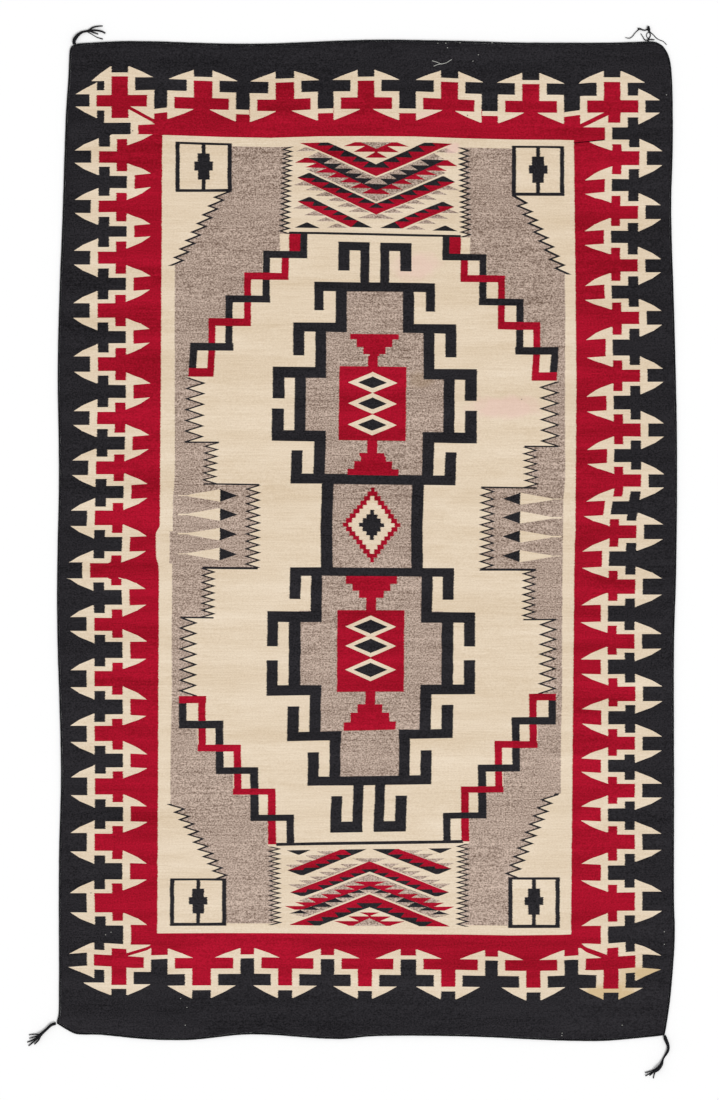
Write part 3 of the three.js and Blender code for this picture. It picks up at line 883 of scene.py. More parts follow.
def reading(points, key, value):
    """A function that reads an edge: its value where its key is, straight between the points."""
    table = sorted((point[key], point[value]) for point in points)
    keys = [row[0] for row in table]

    def read(at):
        place = bisect_right(keys, at)
        if place == 0:
            return table[0][1]
        if place == len(table):
            return table[-1][1]
        (k0, v0), (k1, v1) = table[place - 1], table[place]
        return v0 + (v1 - v0) * (at - k0) / max(k1 - k0, 1e-9)

    return read


left_edge = reading(EDGE_LEFT, 1, 0)
right_edge = reading(EDGE_RIGHT, 1, 0)
top_edge = reading(EDGE_TOP, 0, 1)
foot_edge = reading(EDGE_FOOT, 0, 1)
print("outline:", len(loop), "points, corners", sorted(corner_at.values()))

# %% [markdown]
# ## How the wefts lie
# The weaver beats each weft down by hand, so the rows aren't ruled lines. In the field they sag
# towards one side and further up towards the other. At both ends they bend with the uneven edge.
# The cloth itself lies almost flat and rises off the floor by a millimetre or two here and there.

# %% The lie of the rows
ROW = 1.85  # height of one charted row, one or two beaten wefts
TOP_END = 1192
FOOT_END = -1194
END_ZONE = 95  # how far in from the ends the rows bend with the edge
SAG_MIDDLE = [(720, 230), (650, 400), (-380, 400), (-440, 230)]  # where the full sag is reached
SAG_GONE = (500, 560)
# How much lower a field row lies on the right than on the left.
SAG = [(956, 11.8), (870, 11), (815, 16.5), (790, 14), (740, 9.6), (180, 10.8), (-64, 4.8)]
SAG += [(-188, 4.8), (-400, -7), (-460, -9.6)]
SAG += [(-600, -4.8), (-730, -7.2), (-812, -2.4), (-928, 4.8)]
# How much lower the rows of each end lie, as (place, drop) rows from the right to the left.
TOP_WAVE = [(514, 0), (498, 7), (439, 5.5), (394, 5.5), (350, 5), (242, 2.6), (197, 0.3), (151, -2)]
TOP_WAVE += [(43, -3.3), (-48, -3), (-151, -1.5), (-197, 1.5), (-242, 2), (-348, -1), (-393, -2.5)]
TOP_WAVE += [(-439, -4), (-498, -6.5), (-514, 0)]
FOOT_WAVE = [(514, 0), (492, 3), (439, 4.8), (350, 5.3), (242, 3), (151, 2), (43, 1.7), (-48, 1)]
FOOT_WAVE += [(-151, 0.2), (-254, -1), (-348, -0.7), (-498, 0.5), (-514, 0)]
# The crossbars in the foot's two corners rise towards the sides: their middle, and how steeply.
FOOT_TILT = {-1: (595, 0.06), 1: (585, 0.075)}
TILT_ALONG = (514, 526, 665, 720)  # where the tilt sets in and where it ends, across the rug
TILT_AT = (915, 950, 1040, 1065)  # and along it
WAVE_FROM = (890, 945)  # where the sag of the field gives way to the wave of an end
WAVE_GONE = (1112, 1188)
WOBBLE = 0.9  # mm that an area's edge strays from its chart
STILL_SIDE = (640, 700)  # where the straying dies out towards a side
STILL_END = (1090, 1150)  # and towards an end
HALF_WIDTH = 735
HALF_LENGTH = 1195
RISE = 1.7  # mm that the cloth may rise off the floor
RISE_MOST = 2.6


def share_of(value, start, stop):
    """How far a value has come from start to stop, from 0 to 1."""
    return max(0, min(1, (value - start) / (stop - start)))


def lie(x, at):
    """Where a charted point comes to lie, in millimetres."""
    reach = max(-1, min(1, x / between(SAG_MIDDLE, at)))
    fade = 1 - share_of(abs(x), *SAG_GONE)
    near_end = share_of(abs(at), *WAVE_FROM)
    y = at - between(SAG, at) / 2 * reach * fade * (1 - near_end)
    wave = between(TOP_WAVE if at > 0 else FOOT_WAVE, x)
    y -= wave * near_end * (1 - share_of(abs(at), *WAVE_GONE))
    if at < 0:
        middle, steepness = FOOT_TILT[1 if x > 0 else -1]
        tilted = steepness * (min(abs(x), TILT_ALONG[2]) - middle)
        for value, (start, full, still, gone) in ((abs(x), TILT_ALONG), (-at, TILT_AT)):
            tilted *= share_of(value, start, full) * (1 - share_of(value, still, gone))
        y += tilted
    stray = (1 - share_of(abs(x), *STILL_SIDE)) * (1 - share_of(abs(at), *STILL_END))
    x += WOBBLE * stray * noise.noise((x / 45, y / 28, 3.1))
    y += WOBBLE * stray * noise.noise((x / 70, y / 40, 8.7))
    if at > TOP_END - END_ZONE:
        bend = ((at - TOP_END + END_ZONE) / END_ZONE) ** 2
        y += bend * (top_edge(x) - TOP_END)
    if at < FOOT_END + END_ZONE:
        bend = ((FOOT_END + END_ZONE - at) / END_ZONE) ** 2
        y += bend * (foot_edge(x) - FOOT_END)
    return x, y


def rise(x, y):
    """How far the underside of the cloth lies off the floor, in millimetres."""
    slow = noise.noise((x / 310, y / 260, 1.7))
    quick = noise.noise((x / 120, y / 150, 5.2))
    at_edge = noise.noise((x / 90, y / 90, 9.4))
    near_edge = max(abs(x) / HALF_WIDTH, abs(y) / HALF_LENGTH) ** 6
    height = RISE * (0.42 + 0.75 * slow) + 0.5 * quick + 0.9 * near_edge * at_edge
    return max(0.0, min(height, RISE_MOST))


print("the middle of the rug lies", round(rise(0, 0), 2), "mm off the floor")

# %% [markdown]
# ## Weaving the cloth
# Each row looks the chart up at its middle height and finds which yarn covers which stretch. Every
# change of yarn becomes an edge, so the areas are real faces with their own wool and no picture is
# needed. Neighbouring rows share their points, and the steep edges shift to and fro by turns, as
# they do where two wefts dovetail around a common warp. The underside shows the same pattern.

# %% Read the chart row by row
CLOTH = 3.5  # mm thick
JOG = 1.5  # mm that a steep edge shifts to and fro
SAME_POINT = 0.35  # mm within which the points of two rows become one
STEEP = 0.35  # an edge is steep if it moves less than this for each mm of height
HARDLY = 0.05  # mm, the least width of an area in a row
SIDE_MARGIN = 4.0  # mm of black kept along each side
CUT_EVERY = 115  # mm between the cuts across a wide stretch of one wool
CUT_CLEAR = 2  # mm that a cut keeps from a slanting change
CUT_APART = 6  # mm that it keeps from the middle of any change
EDGE_CUTS_FROM = 1090  # from here to the ends the rows also have the outline's own points
EDGE_CUTS = [round(x) for x, _ in EDGE_TOP[1:-1] + EDGE_FOOT[1:-1]]


def side_of(entry, which, at):
    """Where the left (3) or the right (4) side of a patch stands at a height."""
    _, low, high, left, right, about = entry
    at = max(low, min(high, at))
    start, stop = left if which == 3 else right
    return about(at) + start + (stop - start) * (at - low) / (high - low)


def read_row(active, low, high):
    """The changes of yarn in one row: (place at its foot, place at its top, is it steep)."""
    middle = (low + high) / 2
    spans = [(-9999.0, None, BLACK)]
    for entry in active:
        left, right = side_of(entry, 3, middle), side_of(entry, 4, middle)
        if right - left < HARDLY:
            continue
        before = [span for span in spans if span[0] < left]
        within = [span for span in spans if span[0] <= right]
        after = [span for span in spans if span[0] > right]
        spans = before + [(left, (entry, 3), entry[0]), (right, (entry, 4), within[-1][2])] + after
    changes, yarns = [], [BLACK]
    for _, edge, yarn in spans[1:]:
        if yarn == yarns[-1]:
            continue
        foot, top = side_of(*edge, low), side_of(*edge, high)
        changes.append([foot, top, abs(top - foot) < STEEP * (high - low)])
        yarns.append(yarn)
    return changes, yarns


def tidy_row(changes, yarns, low, high):
    """Keeps a row's changes in order and inside the edges, and adds cuts across wide stretches."""
    y = (low + high) / 2
    left, right = left_edge(y), right_edge(y)
    for place, change in enumerate(changes):
        for end in (0, 1):
            floor = changes[place - 1][end] if place else left + 2 * SIDE_MARGIN
            change[end] = min(max(change[end], floor), right - 2 * SIDE_MARGIN)
    cuts = [left + SIDE_MARGIN, right - SIDE_MARGIN]
    cuts += [CUT_EVERY * step for step in range(-6, 7)]
    if max(abs(low), abs(high)) > EDGE_CUTS_FROM:
        cuts += [x for x in EDGE_CUTS if left + 2 * SIDE_MARGIN < x < right - 2 * SIDE_MARGIN]
    middles = [(change[0] + change[1]) / 2 for change in changes]
    for cut in sorted(set(cuts)):
        place = bisect_right(middles, cut)
        near = [middles[k] for k in (place - 1, place) if 0 <= k < len(middles)]
        inside = place == 0 or max(changes[place - 1][:2]) < cut - CUT_CLEAR
        inside = inside and (place == len(middles) or min(changes[place][:2]) > cut + CUT_CLEAR)
        if inside and all(abs(cut - other) > CUT_APART for other in near):
            changes.insert(place, [cut, cut, False])
            yarns.insert(place, yarns[place])
            middles.insert(place, cut)
    return changes, yarns


def woven_rows(row_height):
    """Every row of the cloth, from its foot to its top."""
    count = 2 * round((TOP_END - FOOT_END) / row_height / 2)
    levels = [FOOT_END + (TOP_END - FOOT_END) * k / count for k in range(count + 1)]
    rows = []
    for low, high in zip(levels, levels[1:]):
        middle = (low + high) / 2
        active = [entry for entry in chart if entry[1] <= middle < entry[2]]
        changes, yarns = read_row(active, low, high)
        rows.append(tidy_row(changes, yarns, low, high))
    return levels, rows


def lines_between(levels, rows):
    """The points of each level line, shared by the row under it and the row over it."""
    lines = []
    for line in range(len(levels)):
        marks = []
        if line:
            marks += [(c[1], c[2], (line - 1, k, 1)) for k, c in enumerate(rows[line - 1][0])]
        if line < len(rows):
            marks += [(c[0], c[2], (line, k, 0)) for k, c in enumerate(rows[line][0])]
        marks.sort(key=lambda mark: mark[0])
        places, steep, where = [], [], {}
        for x, upright, key in marks:
            if not places or x - places[-1] > SAME_POINT:
                places.append(x)
                steep.append(True)
            steep[-1] = steep[-1] and upright
            where[key] = len(places)
        lines.append((places, steep, where))
    return lines


# %% [markdown]
# ## From rows to a mesh
# The upper face has every row, and the underside has rows three times as tall. A narrow black face
# runs round between them. The cloth is a little thinner along its edges, where the cords lie.

# %% Build the woven mesh
END_THIN = 0.9  # mm that the cloth is thinner at its two ends
EDGE_THIN = 1.0  # and along its sides
EDGE_LIFT = 0.4  # mm that its underside rises there
BACK_ROWS = 3  # how many rows of the upper face one row of the underside stands for


class Mesh:
    """Points, faces and their yarns, gathered while a mesh is built."""

    def __init__(self):
        self.points, self.faces, self.yarns = [], [], []

    def point(self, x, y, z):
        self.points.append((x * MM, y * MM, z * MM))
        return len(self.points) - 1

    def face(self, corners, yarn):
        corners = [c for k, c in enumerate(corners) if c != corners[k - 1]]
        if len(set(corners)) > 2:
            self.faces.append(corners)
            self.yarns.append(yarn)


def side_point(sheet_mesh, sign, at, height):
    """A point on the left (-1) or right (1) edge of the cloth."""
    corner = corner_at[sign, 1 if at > 0 else -1]
    y = lie(corner[0], at)[1]
    x = left_edge(y) if sign < 0 else right_edge(y)
    return sheet_mesh.point(x, y, height + rise(x, y))


def weave(sheet_mesh, row_height, top_side):
    """One face of the cloth. Gives the points along its left and right edges and its two ends."""
    levels, rows = woven_rows(row_height)
    lines = lines_between(levels, rows)
    dice = random.Random(7)
    numbered = []
    for line, (at, (places, steep, _)) in enumerate(zip(levels, lines)):
        at_end = line in (0, len(levels) - 1)
        height = CLOTH - (END_THIN if at_end else 0) if top_side else 0
        edge_height = CLOTH - EDGE_THIN if top_side else EDGE_LIFT
        numbers = [side_point(sheet_mesh, -1, at, edge_height)]
        for x, upright in zip(places, steep):
            jog = (JOG if line % 2 else -JOG) * dice.uniform(0.4, 1.2) if upright and top_side else 0
            px, py = lie(x + jog, at)
            if at_end:
                py = top_edge(px) if line else foot_edge(px)
            numbers.append(sheet_mesh.point(px, py, height + rise(px, py)))
        numbers.append(side_point(sheet_mesh, 1, at, edge_height))
        numbered.append(numbers)
    for row, (changes, yarns) in enumerate(rows):
        below, above = numbered[row], numbered[row + 1]
        foot_at = [0] + [lines[row][2][row, k, 0] for k in range(len(changes))] + [len(below) - 1]
        top_at = [0] + [lines[row + 1][2][row, k, 1] for k in range(len(changes))] + [len(above) - 1]
        for k, yarn in enumerate(yarns):
            foot = below[foot_at[k] : foot_at[k + 1] + 1]
            top = above[top_at[k] : top_at[k + 1] + 1]
            sheet_mesh.face(foot + top[::-1], yarn)
    return [n[0] for n in numbered], [n[-1] for n in numbered], numbered[0], numbered[-1]


cloth = Mesh()
front = weave(cloth, ROW, True)
back = weave(cloth, ROW * BACK_ROWS, False)
print("cloth:", len(cloth.points), "points,", len(cloth.faces), "faces")


def close_side(one, other):
    """The narrow edge face between a fine row of points and a coarse one."""
    fine, coarse = (one, other) if len(one) > len(other) else (other, one)
    share = (len(fine) - 1) / (len(coarse) - 1)
    for k in range(len(coarse) - 1):
        start, stop = round(k * share), round((k + 1) * share)
        cloth.face([coarse[k + 1], coarse[k]] + fine[start : stop + 1], BLACK)


for front_side, back_side in zip(front, back):
    close_side(front_side, back_side)

cloth_mesh = bpy.data.meshes.new("woven cloth")
cloth_mesh.from_pydata(cloth.points, [], cloth.faces)
cloth_mesh.polygons.foreach_set("material_index", cloth.yarns)
cloth_mesh.validate()


def outward(mesh):
    """Turns all faces outward."""
    work = bmesh.new()
    work.from_mesh(mesh)
    bmesh.ops.recalc_face_normals(work, faces=work.faces)
    loose = sum(1 for edge in work.edges if len(edge.link_faces) != 2)
    work.to_mesh(mesh)
    work.free()
    print(mesh.name, "edges without two faces:", loose)


outward(cloth_mesh)
cloth_mesh.shade_smooth()
cloth_mesh.set_sharp_from_angle(angle=math.radians(50))
woven_cloth = bpy.data.objects.new("woven_cloth", cloth_mesh)
bpy.context.scene.collection.objects.link(woven_cloth)
triangles = sum(len(face.vertices) - 2 for face in cloth_mesh.polygons)
print("triangles in the cloth:", triangles)

# %% [markdown]
# ## Twisted yarn
# The edge cords and the tassels are black wool yarns, several plies twisted round each other. One
# node tree makes them all: it evens out a path's points, copies the path once for each ply, winds
# each copy round the path, and gives it a round section as thick as the path says.

# %% The twisted yarn tree
PLY_AWAY = 0.5  # from the middle of a yarn to the middle of a ply, as a share of the yarn's radius
PLY_THICK = 0.56  # a ply's radius, as a share of the yarn's


class Nodes:
    """Adds nodes to a tree. Whatever is given to an input may be a value or a socket."""

    def __init__(self, tree):
        self.tree = tree

    def give(self, node, key, value):
        if isinstance(value, bpy.types.NodeSocket):
            self.tree.links.new(value, node.inputs[key])
        else:
            node.inputs[key].default_value = value

    def add(self, kind, given, output=0, **settings):
        node = self.tree.nodes.new(kind)
        for key, value in settings.items():
            setattr(node, key, value)
        for key, value in given.items():
            self.give(node, key, value)
        return node.outputs[output]

    def maths(self, operation, *values, clamp=False):
        given = dict(enumerate(values))
        return self.add("ShaderNodeMath", given, operation=operation, use_clamp=clamp)


def socket(tree, name, kind, default=None):
    item = tree.interface.new_socket(name=name, in_out="INPUT", socket_type=kind)
    if default is not None:
        item.default_value = default
    return item.identifier


def yarn_tree():
    """The tree, and under which name each of its inputs is reached from outside."""
    tree = bpy.data.node_groups.new("twisted yarn", "GeometryNodeTree")
    tree.interface.new_socket(name="Geometry", in_out="OUTPUT", socket_type="NodeSocketGeometry")
    tree.interface.new_socket(name="Geometry", in_out="INPUT", socket_type="NodeSocketGeometry")
    names = {
        "Plies": socket(tree, "Plies", "NodeSocketInt", 3),
        "Pitch": socket(tree, "Pitch", "NodeSocketFloat", 0.012),
        "Step": socket(tree, "Step", "NodeSocketFloat", 0.0026),
        "Sides": socket(tree, "Sides", "NodeSocketInt", 6),
        "Material": socket(tree, "Material", "NodeSocketMaterial"),
    }
    nodes = Nodes(tree)
    given = tree.nodes.new("NodeGroupInput").outputs
    path = {"Curve": given["Geometry"], "Length": given["Step"]}
    even = nodes.add("GeometryNodeResampleCurve", path, mode="LENGTH")
    plies = {"Geometry": even, "Amount": given["Plies"]}
    copies = nodes.add("GeometryNodeDuplicateElements", plies, domain="SPLINE")

    along = nodes.add("GeometryNodeSplineParameter", {}, output="Length")
    turns = nodes.maths("DIVIDE", along, given["Pitch"])
    share = nodes.maths("DIVIDE", copies.node.outputs["Duplicate Index"], given["Plies"])
    angle = nodes.maths("MULTIPLY", nodes.maths("ADD", turns, share), math.tau)
    # The angle is kept before the points move, so that the winding stays even.
    kept = {"Geometry": copies, "Name": "turn", "Value": angle}
    kept = nodes.add("GeometryNodeStoreNamedAttribute", kept, data_type="FLOAT", domain="POINT")
    named = {"Name": "turn"}
    turn = nodes.add("GeometryNodeInputNamedAttribute", named, output="Attribute", data_type="FLOAT")

    tangent = nodes.add("GeometryNodeInputTangent", {})
    normal = nodes.add("GeometryNodeInputNormal", {})
    across_both = nodes.add("ShaderNodeVectorMath", {0: tangent, 1: normal}, operation="CROSS_PRODUCT")
    radius = nodes.add("GeometryNodeInputRadius", {})
    away = nodes.maths("MULTIPLY", radius, PLY_AWAY)
    parts = []
    for direction, wave in ((normal, "COSINE"), (across_both, "SINE")):
        reach = nodes.maths("MULTIPLY", nodes.maths(wave, turn), away)
        parts.append(nodes.add("ShaderNodeVectorMath", {0: direction, "Scale": reach}, operation="SCALE"))
    offset = nodes.add("ShaderNodeVectorMath", dict(enumerate(parts)), operation="ADD")
    moved = nodes.add("GeometryNodeSetPosition", {"Geometry": kept, "Offset": offset})
    thickness = nodes.maths("MULTIPLY", radius, PLY_THICK)
    thin = nodes.add("GeometryNodeSetCurveRadius", {"Curve": moved, "Radius": thickness})

    ring = {"Radius": 1.0, "Resolution": given["Sides"]}
    ring = nodes.add("GeometryNodeCurvePrimitiveCircle", ring, mode="RADIUS")
    tube = {"Curve": thin, "Profile Curve": ring, "Fill Caps": True}
    tube = nodes.add("GeometryNodeCurveToMesh", tube)
    if "Scale" in tube.node.inputs:
        nodes.give(tube.node, "Scale", radius)
    smooth = nodes.add("GeometryNodeSetShadeSmooth", {"Geometry": tube})
    real = nodes.add("GeometryNodeRealizeInstances", {"Geometry": smooth})
    coloured = {"Geometry": real, "Material": given["Material"]}
    coloured = nodes.add("GeometryNodeSetMaterial", coloured)
    nodes.give(tree.nodes.new("NodeGroupOutput"), "Geometry", coloured)
    return tree, names


YARN_TREE, YARN_INPUTS = yarn_tree()


def spun(name, paths, material, **settings):
    """A piece of twisted yarn along paths of (x, y, z, thickness) points in millimetres."""
    curve = bpy.data.curves.new(name, "CURVE")
    curve.dimensions = "3D"
    curve.twist_mode = "MINIMUM"
    for path in paths:
        spline = curve.splines.new("POLY")
        spline.points.add(len(path) - 1)
        for point, (x, y, z, thick) in zip(spline.points, path):
            point.co = (x * MM, y * MM, z * MM, 1)
            point.radius = thick / 2 * MM
    draft = bpy.data.objects.new(name + " path", curve)
    bpy.context.scene.collection.objects.link(draft)
    modifier = draft.modifiers.new("twist", "NODES")
    modifier.node_group = YARN_TREE
    settings["Material"] = material
    for key, value in settings.items():
        modifier[YARN_INPUTS[key]] = value
    bpy.context.view_layer.update()
    seen = draft.evaluated_get(bpy.context.evaluated_depsgraph_get())
    mesh = bpy.data.meshes.new_from_object(seen)
    mesh.name = name
    bpy.data.objects.remove(draft)
    piece = bpy.data.objects.new(name, mesh)
    bpy.context.scene.collection.objects.link(piece)
    mesh.materials.clear()
    mesh.materials.append(material)
    print(name, "triangles:", sum(len(face.vertices) - 2 for face in mesh.polygons))
    return piece


# %% [markdown]
# ## Plain materials
# The cords and the tassels are dark matte wool. One function makes every material that has no pattern.

# %% Tones and plain materials


def tone(red, green, blue):
    """A colour as a screen shows it (0 to 255), turned into the renderer's own scale."""
    shares = (red / 255, green / 255, blue / 255)
    return tuple((c / 12.92 if c <= 0.04045 else ((c + 0.055) / 1.055) ** 2.4) for c in shares) + (1.0,)


def plain(name, colour, rough=0.95, shine=0.12):
    material = bpy.data.materials.new(name)
    material.use_nodes = True
    inputs = material.node_tree.nodes["Principled BSDF"].inputs
    inputs["Base Color"].default_value = colour
    inputs["Roughness"].default_value = rough
    inputs["Specular IOR Level"].default_value = shine
    return material


black_yarn = plain("black wool yarn", tone(27, 27, 30))

# %% [markdown]
# ## The edge cords
# Along each edge lies a cord of twined black yarn, worked in with the last warp or weft. It rides
# half outside the cloth, so its path is the outline itself, two and a half millimetres further out.

# %% Edge cords
CORD = 4.4  # mm thick
CORD_OUT = 2.5  # from the edge of the cloth to the middle of the cord


def pushed_out(points):
    """The outline moved outwards by CORD_OUT."""
    moved = []
    for k, (x, y) in enumerate(points):
        before, after = points[k - 1], points[(k + 1) % len(points)]
        along = Vector((after[0] - before[0], after[1] - before[1])).normalized()
        moved.append((x + along.y * CORD_OUT, y - along.x * CORD_OUT))
    return moved


def eased(path, every=9.0):
    """The path with points a short way apart, its turns rounded a little."""
    points = [Vector(point) for point in path]
    fine = [points[0]]
    for start, stop in zip(points, points[1:]):
        pieces = max(1, round((stop - start).length / every))
        fine += [start.lerp(stop, (k + 1) / pieces) for k in range(pieces)]
    for _ in range(4):
        inner = [(a + 2 * b + c) / 4 for a, b, c in zip(fine, fine[1:], fine[2:])]
        fine = [fine[0]] + inner + [fine[-1]]
    return fine


ring_out = pushed_out(loop)
ring_at = {point: ring_out[k] for k, point in enumerate(loop)}
CORDS = {
    "edge_cord_top": EDGE_TOP,
    "side_cord_left": EDGE_LEFT,
    "edge_cord_bottom": EDGE_FOOT,
    "side_cord_right": EDGE_RIGHT,
}
cord_pieces = {}
for name, edge in CORDS.items():
    path = eased([ring_at[point] for point in edge])
    placed = []
    for point in path:
        wander = 0.25 * noise.noise((point.x / 20, point.y / 20, 4.4))
        height = CORD / 2 + rise(point.x, point.y)
        thick = CORD * (1 + 0.06 * noise.noise((point.x / 16, point.y / 16, 7.7)))
        placed.append((point.x + wander, point.y + wander, height, thick))
    cord_pieces[name] = spun(name + "_twined", [placed], black_yarn, Pitch=0.0105, Step=0.0021)

# %% [markdown]
# ## The corner tassels
# At the corners the cords' ends are left long. Each stem leaves its corner, bends, and opens into
# loose strands. One corner has worn down to a stalk with a knot and a few thin ends. The routes are
# given as short lists of (x, y, thickness), the same as in the imported solids.

# %% Tassel routes
TASSEL_TOP_LEFT = dict(
    stem=[(-702, 1189, 8), (-702.5, 1195, 8.5), (-700, 1201, 9), (-694, 1209, 8), (-684, 1216.5, 6),
          (-672, 1219.5, 5.5), (-661, 1221, 7)],
    strands=[
        [(-668, 1221, 4), (-658, 1228, 4), (-646, 1231, 3.6), (-634, 1232, 2.6)],
        [(-666, 1221, 5), (-650, 1221, 4.6), (-636, 1218.5, 4.4), (-628, 1214.5, 4)],
        [(-666, 1220, 4), (-654, 1215.5, 3.6), (-645, 1212.5, 2.8)],
        [(-672, 1219, 2.6), (-660, 1212, 2.2), (-648, 1205, 2.2), (-634, 1200.5, 3)],
    ],
)
TASSEL_BOTTOM_LEFT = dict(
    stem=[(-747, -1161, 7), (-758, -1165, 7), (-770, -1176, 6.4), (-780, -1185, 7.6), (-787, -1191, 10)],
    strands=[
        [(-784, -1188, 3), (-797, -1187, 2.8), (-811, -1189, 2.2)],
        [(-786, -1190, 3), (-799, -1193.5, 2.8), (-810, -1197, 2.4)],
        [(-786, -1191, 4.2), (-800, -1200, 4), (-815, -1206.5, 2.6)],
        [(-787, -1193, 4), (-801, -1206, 3.6), (-812, -1215, 2.6)],
        [(-784, -1192, 4.6), (-789, -1202, 4.2), (-798, -1211, 3)],
    ],
)
TASSEL_BOTTOM_RIGHT = dict(
    stem=[(714, -1190, 6), (716.5, -1199, 9), (722.5, -1215, 7), (721, -1228, 6.4), (711, -1245, 4.4),
          (706, -1259, 8), (697, -1270, 10), (690, -1275, 8)],
    strands=[
        [(698, -1267, 3.4), (684, -1274, 3), (667, -1279.5, 2.4)],
        [(694, -1272, 3.2), (682, -1279, 3), (668, -1287, 2.8)],
        [(692, -1274, 3.6), (685, -1280, 3.2), (678, -1286.5, 2.6)],
        [(693, -1274, 3.4), (689, -1284, 2.8), (687, -1293, 2.4)],
    ],
)
TASSEL_TOP_RIGHT = dict(
    stem=[(674, 1196, 5), (676, 1201, 3.6), (680, 1209, 2.6), (678, 1217, 3.6), (675.5, 1224, 8),
          (675.5, 1231, 5)],
    strands=[
        [(676, 1225, 4), (666, 1221.5, 3), (657, 1224, 4.4), (650, 1225.5, 4)],
        [(654, 1224.5, 2.4), (645, 1217, 2), (636, 1206, 2), (629, 1202.5, 2), (620, 1204, 1.8)],
        [(677, 1219, 3), (686, 1212, 2.4), (694, 1203.5, 2.2), (702, 1198.5, 2), (711, 1195, 1.8),
         (719, 1187, 1.8)],
        [(675, 1198.4, 2.6), (667, 1198.4, 2.8), (662, 1206, 2.2), (657, 1214, 1.8)],
        [(675, 1198.6, 2.6), (683, 1199.2, 2.8), (690, 1199, 2)],
        [(676, 1200, 2.2), (671.5, 1206, 2), (671, 1213, 1.8), (677, 1217.5, 2)],
    ],
)
TASSELS = {
    "tassel_top_left": TASSEL_TOP_LEFT,
    "tassel_bottom_left": TASSEL_BOTTOM_LEFT,
    "tassel_bottom_right": TASSEL_BOTTOM_RIGHT,
    "tassel_top_right": TASSEL_TOP_RIGHT,
}

# %% [markdown]
# ## From routes to tassels
# Each route is rounded into a smooth line and laid on the floor at its own thickness, the strands a
# little over each other.

# %% Spin the tassels


def rounded_route(route, per_leg=6):
    """A smooth line through a route's points, with their thickness."""
    ends = [route[0]] + route + [route[-1]]
    points = []
    for a, b, c, d in zip(ends, ends[1:], ends[2:], ends[3:]):
        for k in range(per_leg):
            t = k / per_leg
            leaving = (-t + 2 * t**2 - t**3, 2 - 5 * t**2 + 3 * t**3)
            coming = (t + 4 * t**2 - 3 * t**3, t**3 - t**2)
            pulls = list(zip(leaving + coming, (a, b, c, d)))
            points.append(tuple(sum(weight * point[n] for weight, point in pulls) / 2 for n in range(3)))
    return points + [tuple(route[-1])]


STEM_LIFT = 0.1  # mm off the floor
STRAND_LIFT = 0.3
STRAND_OVER = 0.45  # how much higher each of three strands lies than the one before


def tassel_paths(stem, strands):
    paths = []
    for order, route in enumerate([stem] + strands):
        path = []
        for x, y, thick in rounded_route(route):
            lift = STRAND_LIFT + STRAND_OVER * (order % 3) if order else STEM_LIFT
            height = thick / 2 + lift
            path.append((x, y, height, thick))
        paths.append(path)
    return paths


tassel_pieces = {}
for name, routes in TASSELS.items():
    paths = tassel_paths(**routes)
    tassel_pieces[name] = spun(name + "_spun", paths, black_yarn, Pitch=0.011, Step=0.0014, Sides=7)

# %% [markdown]
# ## Lint
# The rug has picked up bits of pale fibre, a few dark ones and one loose pale thread. They could be
# spots in the wool's colour, but as short pieces of thin yarn on the cloth they stand up from it. They
# are put down one by one.

# %% Lint
PALE_BITS = [(713, -941), (713, -971), (718, 1066), (193, 1179), (267, 1162), (254, 1147), (170, 1190)]
PALE_BITS += [(189, 1190), (223, 1191), (300, 1191), (468, -1184), (467, -1190), (612, -1165)]
PALE_BITS += [(-627, -948), (-614, -942), (-447, -1101), (-432, -1122), (-436, -1165)]
DARK_BITS = [(-662, -848), (-562, 980), (-586, -968), (371, 336), (241, 1017)]
LOOSE_THREADS = [
    [(156, 1148), (167, 1145), (178, 1140), (190, 1143), (203, 1151)],
    [(160, 1135), (169, 1139), (180, 1141)],
]
BIT = 1.9  # mm
THREAD = 1.5  # mm


def on_cloth(x, y, thick):
    return (x, y, CLOTH + rise(x, y) + thick * 0.4, thick)


def bits(places):
    return [[on_cloth(x - BIT / 2, y, BIT), on_cloth(x + BIT / 2, y + BIT / 4, BIT)] for x, y in places]


pale_fibre = plain("pale fibre", (0.5, 0.5, 0.46, 1), shine=0.5)
threads = [[on_cloth(x, y, THREAD) for x, y in route] for route in LOOSE_THREADS]
lint = [
    spun("pale_lint", bits(PALE_BITS) + threads, pale_fibre, Pitch=0.006, Step=0.0012, Sides=5),
    spun("dark_lint", bits(DARK_BITS), black_yarn, Pitch=0.006, Step=0.0012, Sides=5),
]

# %% [markdown]
# ## The wools
# All four wools are handspun and matte. The weave's beads, the slow change of a hand-dyed colour and
# the flecks of a carded grey are all made from the place on the rug, so they stay still when it
# turns. Each wool runs between a deep and a light tone, and three noises say which: long streaks
# along the wefts, slow bands across them where one batch of yarn follows another, and short flecks.

# %% Shader nodes


class Shader(Nodes):
    """Adds nodes to one material."""

    def __init__(self, name):
        self.material = bpy.data.materials.new(name)
        self.material.use_nodes = True
        super().__init__(self.material.node_tree)
        self.principled = self.tree.nodes["Principled BSDF"]

    def stretched(self, vector, x, y, z=1.0):
        given = {0: vector, 1: (x, y, z)}
        return self.add("ShaderNodeVectorMath", given, operation="MULTIPLY")

    def noise(self, vector, detail=2.0, rough=0.5):
        given = {"Vector": vector, "Scale": 1.0, "Detail": detail, "Roughness": rough}
        return self.add("ShaderNodeTexNoise", given)

    def mixed(self, share, first, second):
        given = {"Factor": share, "A": first, "B": second}
        return self.add("ShaderNodeMix", given, output="Result", data_type="RGBA")


# %% [markdown]
# ## Stains
# In a few places red dye has run into the cream, and one corner and one spot have turned yellow brown.
# A stain follows no row of the weave, so each is a soft cloud mixed into the cream and the grey by its
# place on the rug. The black and the red don't show them.

# %% Stains
BLEED = (243, 203, 194)  # red dye that has run into the cream
SOIL = (214, 184, 132)  # yellow brown

